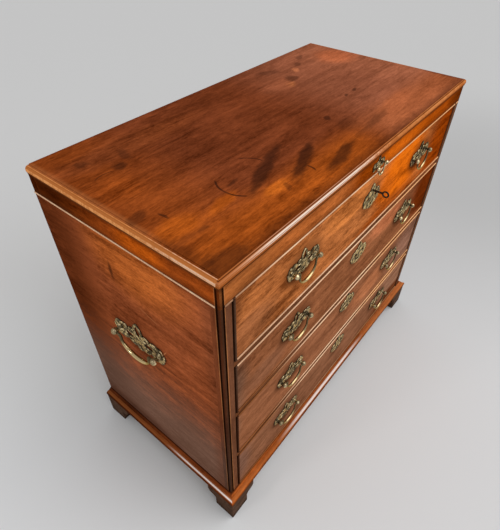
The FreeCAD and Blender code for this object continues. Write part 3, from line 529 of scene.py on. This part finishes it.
# %% [markdown]
# ## The sides and the corner posts
#
# A side is made of wide boards with their grain from front to back, as the photograph shows by
# the fine streaks under the bead. Near the top it is painted brighter, a painted pool of light, and
# toward the back it is painted darker as shade; below, a dull greyish colour is a painted sheen for
# reflected light. The corner post next to it is darker. The bead on its corner is painted dark,
# grime with painted shade, and the gap beside the drawers is painted black as shade. The sharp
# arris beside the bead is worn to a thin line of gold, which is also a painted highlight.

# %% Sides
wood = Mahogany("side_mahogany", "Y", (0.39, 0.096, 0.031), (0.5, 1.4, 0.2), 1.1)
low = (wood.z + (wood.tone - 0.5) * 0.18).step(0.23, 0.50, 1.0, 0.0)
shade_behind = (wood.y + (wood.tone - 0.5) * 0.10).step(0.075, 0.215)
# A painted pool of light near the top.
rubbed_and_lit = wood.blot((0.0, -0.02, 0.745), (ANY, 0.18, 0.125))
wood.wash(rubbed_and_lit.step(0.0, 0.75), (0.66, 0.165, 0.033))
# Below, a greyish painted sheen for reflected light; toward the back, painted shade.
wood.wash(low, (0.235, 0.115, 0.074))
wood.wash(shade_behind * (1.0 - low * 0.75) * 0.92, (0.14, 0.030, 0.008))
wood.wash(shade_behind * low * 0.6, (0.165, 0.085, 0.056))
wood.wash(wood.z.step(0.165, 0.115) * wood.y.step(-0.10, 0.08), (0.14, 0.058, 0.034))
wood.wash(wood.y.step(-0.165, -0.199, 0.0, 0.45), (0.17, 0.050, 0.022))
wood.grain(0.5 + (wood.tone - 0.5) * (1.0 - low * 0.6))
print("sides washed")

# %% Marks on the sides
streak = wood.blot((0.0, 0.052, 0.695), (ANY, 0.007, 0.032)) * 1.1
# A darker halo round the carry handle: a stain with painted shadow.
halo_stain_and_shade = wood.blot((0.0, 0.015, 0.515), (ANY, 0.115, 0.072))
wood.stain(streak.smaller(0.7).larger(halo_stain_and_shade.step(0.1, 0.7, 0.0, 0.45)), (0.05, 0.014, 0.006))
scratch = abs(wood.z - 0.6420 - wood.y * 0.30).step(0.0006, 0.0022, 0.45, 0.0)
scratch = scratch * wood.y.within(-0.060, -0.014, 0.008)
graze = abs(wood.z - 0.4388 + wood.y * 1.6).step(0.0012, 0.0035, 0.8, 0.0)
graze = graze * wood.z.within(0.523, 0.546, 0.004)
wood.stain(scratch.larger(graze), (0.66, 0.24, 0.09))
side_finish = wood.polish(low * 0.03)
print("made", side_finish.name)

# %% Corner posts
BEAD, OPENING = 0.0092, 0.4508
WORN_LIT_ARRIS = (0.62, 0.24, 0.08)


def corner_marks(wood):
    """Two masks: the corner bead and quirks, grime with painted shade; the arris, wear with painted
    highlight.
    """
    deep = (side_face - abs(wood.x)).larger(wood.y - front_face)
    dirt_and_shade = deep.step(0.0, BEAD, 0.6, 0.9) * deep.step(BEAD, BEAD + 0.0004, 1.0, 0.0)
    arris = deep.within(BEAD + 0.0003, BEAD + 0.0018, 0.0004)
    return dirt_and_shade, arris * wood.tone.step(0.35, 0.6, 0.3, 0.8)


wood = Mahogany("post_mahogany", "Z", (0.235, 0.060, 0.020), (0.5, 1.4, 0.2), 0.6)
wood.wash(wood.z.step(0.50, 0.23), (0.150, 0.070, 0.044))
wood.wash((front_face + 0.001 - wood.y).step(0.0, 0.0005), (0.18, 0.066, 0.030))
wood.grain()
# The post's face in the drawer opening is painted black as shade in the gap.
gap = (OPENING - abs(wood.x)).step(0.0, 0.0006)
dirt_and_shade, arris = corner_marks(wood)
# Wear on the arris, painted gold as a highlight; grime and painted shade on the bead and in the
# gap.
wood.stain(arris, WORN_LIT_ARRIS)
wood.stain(dirt_and_shade.larger(gap * 0.9), (0.030, 0.011, 0.005))
post_finish = wood.polish(0.03)
print("made", post_finish.name, "with a bead of", BEAD, "m")

# %% [markdown]
# ## Frames that turn a corner
#
# The frieze and the base moulding are boards that meet in mitres: one along the front and two
# along the sides. The grain turns with the boards. Two figures are made in one finish, one along
# X and one along Y, and a mask that switches at the mitre picks the right one. The frieze's back
# is in shade and dark. The moulding is rounded and well polished, and a long pale highlight is
# painted on its round, wide in front and narrow at the sides, in a lighter painted band. Toward
# the back it is painted darker as shade, and its inner and outer edges are painted dark as shade.


# %% Frieze
def on_side(wood):
    """1 on the boards along the sides, 0 along the front: it switches at the mitre."""
    return (abs(wood.x) - side_face + wood.y - front_face).step(-0.0004, 0.0004)


SHADED = (0.10, 0.026, 0.008)
wood = Mahogany("frieze_mahogany", "X", (0.37, 0.065, 0.003), (1.9, 0.3, 0.2))
at_back = wood.y.step(0.228, 0.230)
at_side = on_side(wood) * (1.0 - at_back)
# Orange patches on the front and on the side: painted pools of light.
orange = wood.blot((0.10, front_face, 0.80), (0.16, ANY, ANY)).step(0.0, 0.7)
orange_side = wood.blot((0.0, -0.05, 0.80), (ANY, 0.08, ANY)).step(0.0, 0.7)
wood.wash(wood.x.step(-0.06, -0.15), (0.55, 0.150, 0.033))
wood.wash(wood.x.step(-0.28, -0.42), (0.39, 0.115, 0.028))
wood.wash(orange, (0.58, 0.110, 0.005))
wood.wash(wood.x.step(0.34, 0.46), (0.17, 0.030, 0.002))
wood.wash(at_side, (0.40, 0.076, 0.010))
wood.wash(at_side * orange_side, (0.66, 0.122, 0.008))
wood.wash((at_side * wood.y.step(0.0, 0.19)).larger(at_back), (0.085, 0.015, 0.002))
wood.grain(wood.mix(at_side, wood.tone, wood.figure("Y")))
wood.stain((lid_joint + 0.012 - wood.z).step(-0.006, 0.008, 0.0, 0.45), SHADED)
wood.stain((wood.z - top_low.z).step(-0.009, 0.0, 0.0, 0.5), SHADED)
# Grime and painted shade on the corner bead; wear and a painted highlight on the arris.
dirt_and_shade, arris = corner_marks(wood)
wood.stain(arris * 0.6, WORN_LIT_ARRIS)
wood.stain(dirt_and_shade * 0.9, (0.026, 0.009, 0.004))
frieze_finish = wood.polish(0.0)
print("made", frieze_finish.name)


# %% Base moulding
def proud(finish):
    """How far a point stands out from the face of the front or of a side."""
    return (abs(finish.x) - side_face).larger(front_face - finish.y)


wood = Mahogany("moulding_mahogany", "X", (0.30, 0.072, 0.015), (0.8, 0.9, 2.3), rough=0.25)
at_side = on_side(wood)
wood.wash(wood.x.step(0.10, 0.30), (0.42, 0.120, 0.034))
wood.wash(wood.x.step(-0.22, -0.40), (0.40, 0.095, 0.018))
wood.wash(at_side, (0.20, 0.044, 0.010))
# Toward the back, painted shade.
wood.wash(at_side * wood.y.step(0.0, 0.16), (0.10, 0.022, 0.006))
wood.grain(wood.mix(at_side, wood.tone, wood.figure("Y")))
out = proud(wood)
shine_front = wood.blot((-0.06, front_face, 0.09), (0.26, ANY, ANY)) * (1.0 - at_side)
shine_side = wood.blot((0.0, -0.15, 0.09), (ANY, 0.16, ANY)) * at_side
shine = shine_front.larger(shine_side).step(0.05, 0.6)
ridge_front = out.within(0.0092, 0.0152, 0.0014) * (1.0 - at_side)
ridge = ridge_front + out.within(0.0120, 0.0155, 0.0010) * at_side
# A lighter band and a pale painted highlight on the round.
wood.stain(out.within(0.0085, 0.0165, 0.0010) * 0.35, (0.62, 0.20, 0.055))
wood.stain(ridge * shine * 0.95, (1.0, 0.88, 0.82))
# Painted shade in the crease by the carcass and under the outer edge.
dirt_and_shade = out.step(0.0020, 0.0045, 0.75, 0.0).larger(out.step(0.0172, 0.0188, 0.0, 0.6))
wood.stain(dirt_and_shade, (0.05, 0.014, 0.006))
moulding_finish = wood.polish(ridge * shine)
print("made", moulding_finish.name)

# %% [markdown]
# ## Rails, feet and linings
#
# The rails between the drawers have their grain along X, and their right ends are painted dark
# as shade. The feet are dull and grey, and darker toward the floor. Linings, dust boards and the
# back are plain oak that nobody polished. Their grain follows the way each board is cut: along a
# lining's side, across a bottom, upright on the back, where the seams between the three boards
# show dark.

# %% Rails and feet
wood = Mahogany("rail_mahogany", "X", (0.17, 0.058, 0.022), (2.9, 0.2, 1.4))
wood.wash(wood.x.step(0.05, 0.25), (0.26, 0.072, 0.022))
wood.grain()
# The right end is painted dark as shade.
wood.stain(wood.x.step(0.42, 0.447, 0.0, 0.7), END_SHADE)
rail_finish = wood.polish(0.02)
wood = Mahogany("foot_mahogany", "X", (0.095, 0.050, 0.031), (1.2, 2.1, 0.6), rough=0.5)
wood.grain()
wood.stain(wood.z.step(0.0, 0.020, 0.6, 0.0), (0.03, 0.018, 0.012))
foot_finish = wood.polish(0.04)
print("made", rail_finish.name, "and", foot_finish.name)

# %% Linings
board = 2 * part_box("back_boards")[1].x / 3
lining_finish = {}
for axis in "XYZ":
    wood = Mahogany("lining_oak_" + axis.lower(), axis, (0.37, 0.23, 0.112), (0.1, 0.3, 0.6),
                    contrast=0.6, rough=0.6, gloss=0.2)
    stale = wood.noise(wood.point, 9.0, 5.0, 0.6).step(0.45, 0.75, 0.0, 0.45)
    wood.wash(stale, (0.15, 0.105, 0.065))
    wood.grain()
    if axis == "Z":
        seam = abs(abs(wood.x) - board / 2)
        wood.stain(seam.step(0.0005, 0.0016, 0.9, 0.0), (0.02, 0.012, 0.006))
    lining_finish[axis] = wood.polish(0.0)
print("linings", sorted(lining_finish), "back boards of", round(board, 4), "m")

# %% [markdown]
# ## Cock beads and the string under the frieze
#
# The thin beads round the drawers and under the frieze catch every knock, so their noses are worn
# to pale bare wood, and that pale is partly a painted highlight. The flanks are painted dark: some
# dirt and painted shade. How far a point stands out from the front or the side tells nose from
# flank. To the right the beads are more orange, low down and to the left they are brown, and the
# upright ones at the drawers' ends are painted black as shade.

# %% Beads
KEPT_BROWN = (0.26, 0.088, 0.026)
UPRIGHTS = (0.4428, 0.4492)
wood = Mahogany("bead_mahogany", "X", (0.97, 0.60, 0.37), (0.2, 1.2, 0.9), 0.5)
on_lid = (wood.z - lid_joint).step(-0.0004, 0.0004)
dull = wood.x.step(-0.12, -0.36) * wood.z.step(0.60, 0.46, 0.35, 1.0) * (1.0 - on_lid)
dull_string = on_lid * wood.x.step(-0.30, -0.46, 0.0, 0.65)
dull_string = dull_string * (wood.y - front_face).step(0.002, 0.001)
wood.wash(wood.x.step(0.02, 0.22), (0.97, 0.50, 0.225))
wood.wash(dull + dull_string, KEPT_BROWN)
wood.wash(wood.z.step(0.18, 0.12) * 0.8, KEPT_BROWN)
wood.grain()
# The flanks are painted dark: painted shade with some dirt.
flank = 1.0 - proud(wood).step(0.0004, 0.0012)
wood.stain(flank * 0.9, (0.10, 0.032, 0.011))
# The upright beads at the drawers' ends are painted black as shade.
ends = abs(wood.x).within(*UPRIGHTS, 0.0004)
wood.stain(ends * 0.92, (0.045, 0.014, 0.006))
bead_finish = wood.polish(0.06)
print("made", bead_finish.name)

# %% [markdown]
# ## Metals
#
# The handles are old brass: nearly black down by the wood, where no cloth reaches, and bright on
# what stands out, where hands rub. So one mask is how far a point stands out from the wood, and a
# noise breaks it up. The plates are chased, which a soft bump shows. The bails are painted bright
# low down, where hands take hold and where a painted highlight stands for the light they reflect,
# and dark near their pins, so each gets a finish that knows the height it hangs from. Locks and the
# key are plain iron and steel, with the noise alone.


# %% Metals
def metal(name, dark, bright, low, high, scale, chased=0.15, reach=None, hang=None):
    """Metal between dark and bright, smoother where wear made it bright; on bails, partly painted
    highlight.
    """
    plate = Finish(name, Specular_IOR_Level=0.1, Specular_Tint=(*bright, 1.0))
    cloud = plate.noise(plate.point, scale, 3.0, 0.6)
    grit = plate.noise(plate.point, scale * 9.0, 3.0, 0.6)
    uneven = cloud * 0.8 + grit * 0.2
    rubbed_and_lit = uneven.step(0.43, 0.63)
    if reach:
        out = proud(plate)
        rubbed_and_lit = rubbed_and_lit * out.step(0.0008, 0.0023, 0.0, 0.9)
        rubbed_and_lit = rubbed_and_lit.larger(out.step(0.0045, reach, 0.0, 0.3))
    # On a bail, bright low down: wear where hands hold, and a painted highlight.
    if hang:
        rubbed_and_lit = (hang - plate.z + (cloud - 0.5) * 0.01).step(0.016, 0.034, 0.12, 1.0)
    return plate.shade(Base_Color=plate.mix(rubbed_and_lit, dark, bright),
                       Roughness=rubbed_and_lit * (low - high) + high,
                       Metallic=rubbed_and_lit.step(0.0, 0.5, 0.5, 1.0),
                       Normal=plate.bump(uneven, chased, 0.0015))


DARK_BRASS, BRIGHT_BRASS = (0.058, 0.042, 0.021), (1.0, 0.80, 0.47)
brass_finish = metal("aged_brass", DARK_BRASS, BRIGHT_BRASS, 0.16, 0.4, 120.0, 0.5, 0.020)
iron_finish = metal("lock_iron", (0.06, 0.055, 0.05), (0.20, 0.19, 0.18), 0.4, 0.65, 90.0)
key_finish = metal("key_steel", (0.035, 0.026, 0.018), (0.20, 0.15, 0.10), 0.28, 0.5, 200.0)
print("made", brass_finish.name, iron_finish.name, key_finish.name)

# %% Bails
BAIL = {"dark": DARK_BRASS, "bright": (0.74, 0.56, 0.29), "low": 0.12, "high": 0.35, "scale": 60.0}
bail_finish = {}
for place, (x, z) in handle_places.items():
    name = "drawer_%d_bail_%s" % place
    bail_finish[name] = metal("brass_" + name, hang=z, **BAIL)
for side in SIDES:
    name = "carry_bail_" + side
    bail_finish[name] = metal("brass_carry_" + side, hang=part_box(name)[1].z, **BAIL)
print("bails", len(bail_finish))

# %% [markdown]
# ## Who wears what
#
# The record names a material slot for every node. Finishes are handed out by slot, the drawer
# fronts and the bails get one each, and the unpolished boards go by the direction of their grain.
# A node's mesh is never touched: only its material changes.

# %% Hand out the finishes
by_slot = {"top_mahogany": top_finish, "side_mahogany": side_finish,
           "frieze_mahogany": frieze_finish, "carcass_mahogany": side_finish,
           "moulding_mahogany": moulding_finish, "foot_mahogany": foot_finish,
           "bead_mahogany": bead_finish, "secondary_wood": lining_finish["X"],
           "aged_brass": brass_finish, "lock_iron": iron_finish, "key_steel": key_finish}
by_node = {"drawer_%d_front" % number: finish for number, finish in front_finish.items()}
by_node.update({"drawer_%d_box" % number: lining_finish["Y"] for number in front_finish})
by_node.update({"corner_post_" + side: post_finish for side in SIDES})
by_node.update(bail_finish)
by_node.update({"drawer_rails": rail_finish, "drawer_runners": lining_finish["Y"],
                "back_boards": lining_finish["Z"]})
slot_of = {}
for entry in frame["record"]["subparts"]:
    name = entry["node"]
    slot_of[name] = entry["material_slot"]
    nodes[name].data.materials.clear()
    nodes[name].data.materials.append(by_node.get(name) or by_slot[slot_of[name]])
print("finished nodes", len(slot_of))

# %% [markdown]
# ## Rounded arrises
#
# A solid from CAD has knife-sharp edges, and nothing old does. Cast brass comes out of the sand
# with soft edges, and a top's arris is worn by sleeves. A node's mesh must not change, so it is
# duplicated, the copy's loose triangles are merged, and a Bevel modifier rounds the sharp edges.
# The copy then stands for the node, and rides on the same body.

# %% Copies with rounded edges
SHARP, SMOOTH = math.radians(38), math.radians(40)


def alone(piece):
    """Leaves one object selected and active."""
    bpy.ops.object.select_all(action="DESELECT")
    piece.select_set(True)
    bpy.context.view_layer.objects.active = piece


def rounded_copy(node, width):
    """A merged copy of a node with its sharp edges rounded, which stands for the node."""
    alone(nodes[node])
    bpy.ops.object.duplicate()
    piece = bpy.context.object
    piece.name = node + "_rounded"
    del piece["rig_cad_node"]
    bpy.ops.object.mode_set(mode="EDIT")
    bpy.ops.mesh.select_all(action="SELECT")
    bpy.ops.mesh.remove_doubles(threshold=0.000005)
    bpy.ops.mesh.normals_make_consistent(inside=False)
    bpy.ops.mesh.select_all(action="DESELECT")
    bpy.ops.object.mode_set(mode="OBJECT")
    bevel = piece.modifiers.new("arris", "BEVEL")
    bevel.width = width
    bevel.segments = 2
    bevel.limit_method = "ANGLE"
    bevel.angle_limit = SHARP
    bevel.use_clamp_overlap = False
    bpy.ops.object.modifier_apply(modifier=bevel.name)
    bpy.ops.object.shade_smooth_by_angle(angle=SMOOTH)
    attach(piece, nodes[node]["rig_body"])
    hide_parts(node)


arrises = {"drawer_%d_brass" % number: 0.0006 for number in front_finish}
arrises.update({"carry_mounts": 0.0006, "lid_pull_plate": 0.0004, "lid_top": 0.0005})
for node, width in arrises.items():
    rounded_copy(node, width)
print("rounded", len(arrises), "nodes")

# %% [markdown]
# ## Screws
#
# The hinges and the locks are held by slotted screws. A screw is a short cylinder: its upper rim
# is bevelled to a low dome, two cuts mark out the slot, and the strip between them is pushed
# down. One screw is modelled, turned to face backwards, copied to every hole and joined into one
# piece for each body it rides on.


# %% A slotted screw
def pick_faces(piece, wanted):
    """Selects the faces whose centre and normal are wanted, and stays in edit mode."""
    bpy.ops.object.mode_set(mode="EDIT")
    bpy.ops.mesh.select_mode(type="FACE")
    bpy.ops.mesh.select_all(action="DESELECT")
    bpy.ops.object.mode_set(mode="OBJECT")
    for face in piece.data.polygons:
        face.select = wanted(face.center, face.normal)
    bpy.ops.object.mode_set(mode="EDIT")


SCREW_RADIUS, SCREW_HEIGHT, ROUNDING = 0.0026, 0.0014, 0.0005
SLOT, SLOT_DEPTH = 0.00038, 0.0006
BACKWARDS = math.radians(-90)
bpy.ops.object.select_all(action="DESELECT")
bpy.ops.mesh.primitive_cylinder_add(vertices=32, radius=SCREW_RADIUS, depth=SCREW_HEIGHT)
screw = bpy.context.object
pick_faces(screw, lambda centre, normal: normal.z > 0.9)
bpy.ops.mesh.bevel(offset=ROUNDING, segments=3)
for cut in (-SLOT, SLOT):
    bpy.ops.mesh.select_all(action="SELECT")
    bpy.ops.mesh.bisect(plane_co=(cut, 0, 0), plane_no=(1, 0, 0))
pick_faces(screw, lambda centre, normal: normal.z > 0.99 and abs(centre.x) < SLOT)
bpy.ops.mesh.extrude_region_move(TRANSFORM_OT_translate={"value": (0, 0, -SLOT_DEPTH)})
bpy.ops.object.mode_set(mode="OBJECT")
screw.rotation_euler = (BACKWARDS, 0, 0)
screw.data.materials.append(iron_finish)
print("screw", len(screw.data.polygons), "faces")


# %% Screws in their places
def repeated(pattern, name, places, body):
    """Copies a pattern to each place, joins the copies into one piece and gives it to a body."""
    copies = []
    for place in places:
        alone(pattern)
        bpy.ops.object.duplicate()
        bpy.context.object.location = place
        copies.append(bpy.context.object)
    alone(copies[0])
    for copy in copies:
        copy.select_set(True)
    bpy.ops.object.join()
    piece = bpy.context.object
    piece.name = name
    bpy.ops.object.transform_apply(location=True, rotation=True, scale=True)
    bpy.ops.object.shade_smooth_by_angle(angle=SMOOTH)
    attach(piece, body)


def discard(pattern):
    """Deletes a pattern that has been copied to all its places."""
    alone(pattern)
    bpy.ops.object.delete()


HINGE, HOLE, LEAF = 0.330, 0.014, 0.002
LOCK_ASIDE, LOCK_UP = 0.024, 0.016
SEAT = SCREW_HEIGHT / 2 - 0.0002
hinge_holes = [side * HINGE + hole for side in (-1, 1) for hole in (-HOLE, 0.0, HOLE)]
hinge_rows = [("hinge_screws_fixed", 0.7624, "carcass"), ("hinge_screws_moving", 0.7956, "lid")]
for name, z, body in hinge_rows:
    repeated(screw, name, [(x, back_face + LEAF + SEAT, z) for x in hinge_holes], body)
for number in front_finish:
    lock_low, lock_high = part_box("drawer_%d_lock" % number)
    middle = (lock_low + lock_high) / 2
    corners = [(x, lock_high.y + SEAT, middle.z + z)
               for x in (-LOCK_ASIDE, LOCK_ASIDE) for z in (-LOCK_UP, LOCK_UP)]
    repeated(screw, "lock_screws_%d" % number, corners, "drawer_%d" % number)
discard(screw)
print("screws", len(hinge_holes) * len(hinge_rows) + len(corners) * len(front_finish))

# %% [markdown]
# ## Nuts behind the drawer fronts
#
# Every handle post ends in a threaded pin that comes through the front and takes a square nut.
# The nut is a cube pressed flat and bevelled, and the pin is a cylinder added to it with its end
# rounded over.

# %% Square nuts
NUT, FLATNESS, NUT_TURN = 0.009, 0.36, math.radians(8)
PIN_RADIUS, PIN_LENGTH, PIN_MIDDLE, PIN_ROUNDING = 0.0021, 0.006, 0.0009, 0.0006
bpy.ops.object.select_all(action="DESELECT")
bpy.ops.mesh.primitive_cube_add(size=NUT)
nut = bpy.context.object
bpy.ops.object.mode_set(mode="EDIT")
bpy.ops.transform.resize(value=(1, 1, FLATNESS))
bpy.ops.mesh.bevel(offset=ROUNDING, segments=2)
bpy.ops.mesh.primitive_cylinder_add(vertices=20, radius=PIN_RADIUS, depth=PIN_LENGTH,
                                    location=(0, 0, PIN_MIDDLE))
pick_faces(nut, lambda centre, normal: normal.z > 0.9 and centre.z > PIN_LENGTH / 2)
bpy.ops.mesh.bevel(offset=PIN_ROUNDING, segments=2)
bpy.ops.object.mode_set(mode="OBJECT")
nut.rotation_euler = (BACKWARDS, 0, NUT_TURN)
nut.data.materials.append(brass_finish)
print("nut", len(nut.data.polygons), "faces")

# %% Nuts on their pins
NUT_SEAT, NUT_DROP = 0.0014, 0.002
bail_low, bail_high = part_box("drawer_1_bail_left")
post = (bail_high.x - bail_low.x) / 2 + 0.001
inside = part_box("drawer_1_front")[1].y
for number in front_finish:
    middles = [handle_places[number, side] for side in SIDES]
    pins = [(x + aside, inside + NUT_SEAT, z - NUT_DROP)
            for x, z in middles for aside in (-post, post)]
    repeated(nut, "handle_nuts_%d" % number, pins, "drawer_%d" % number)
discard(nut)
print("nuts", len(pins) * len(front_finish))

# %% [markdown]
# ## Nails in the back
#
# The back boards are nailed to the carcass and to the dust boards. A forged nail has a rose head:
# a low pyramid of a few hammered faces. It is a five-sided cone, cut short, with its ridges
# bevelled.

# %% Rose-head nails
NAIL_RADIUS, NAIL_TIP, NAIL_HEIGHT, NAIL_ROUNDING = 0.0042, 0.0012, 0.0018, 0.0003
NAIL_ASIDE, NAIL_SEAT = 0.105, 0.0007
NAIL_ROWS = (0.095, 0.268, 0.444, 0.616, 0.764)
bpy.ops.object.select_all(action="DESELECT")
bpy.ops.mesh.primitive_cone_add(vertices=5, radius1=NAIL_RADIUS, radius2=NAIL_TIP,
                                depth=NAIL_HEIGHT)
nail = bpy.context.object
bpy.ops.object.mode_set(mode="EDIT")
bpy.ops.mesh.select_all(action="SELECT")
bpy.ops.mesh.bevel(offset=NAIL_ROUNDING, segments=2)
bpy.ops.object.mode_set(mode="OBJECT")
nail.rotation_euler = (BACKWARDS, 0, 0)
nail.data.materials.append(iron_finish)
nails = [(k * board + side * NAIL_ASIDE, back_face + NAIL_SEAT, z)
         for k in (-1, 0, 1) for side in (-1, 1) for z in NAIL_ROWS]
repeated(nail, "back_nails", nails, "carcass")
discard(nail)
print("nails", len(nails))

# %% [markdown]
# ## The studio
#
# A pale floor runs far behind the chest, so the photograph's view shows no horizon. Pools of light
# are painted on it, in front and to the left, and a painted shade to the right. A very wide soft
# light comes from the right and front, a lower one from the left lifts the edges there, and the
# world adds an even grey.

# %% Floor
FLOOR = 60
bpy.ops.object.select_all(action="DESELECT")
bpy.ops.mesh.primitive_plane_add(size=FLOOR, location=(0, 0, 0))
floor = bpy.context.object
floor.name = "studio_floor"
paper = Finish("studio_paper", Roughness=0.8, Specular_IOR_Level=0.1)
# Painted pools of light in front and to the left, and a painted shade to the right.
light_front = paper.blot((0.4, -0.9, 0.0), (2.4, 2.4, 2.4))
light_left = paper.blot((-1.0, 0.2, 0.0), (1.3, 1.3, 1.3))
pale = light_front.larger(light_left).step(0.1, 0.8)
tint = paper.mix(pale, (0.68, 0.68, 0.68), (0.80, 0.81, 0.82))
dull = paper.blot((1.6, -0.1, 0.0), (1.5, 1.5, 1.5)).step(0.0, 0.9)
floor.data.materials.append(paper.shade(Base_Color=paper.mix(dull, tint, (0.58, 0.58, 0.58))))
print("floor", floor.dimensions[:2])


# %% Lights
def lamp(name, kind, place, target, strength):
    """A light at a place that looks at a target."""
    light = bpy.data.lights.new(name, kind)
    light.energy = strength
    holder = bpy.data.objects.new(name, light)
    holder.location = place
    holder.rotation_euler = (Vector(target) - Vector(place)).to_track_quat("-Z", "Y").to_euler()
    bpy.context.scene.collection.objects.link(holder)
    return light


wide_light = lamp("wide_softbox", "SUN", (1.2, -2.1, 2.5), (0, 0, 0), 1.55)
wide_light.angle = math.radians(70)
left_light = lamp("left_softbox", "AREA", (-2.4, 0.5, 1.9), (-0.45, 0.0, 0.4), 5)
left_light.size = 0.4
world = bpy.data.worlds.new("studio")
world.use_nodes = True
even_grey = world.node_tree.nodes["Background"].inputs
even_grey["Color"].default_value = (1.0, 1.0, 1.0, 1.0)
even_grey["Strength"].default_value = 0.46
bpy.context.scene.world = world
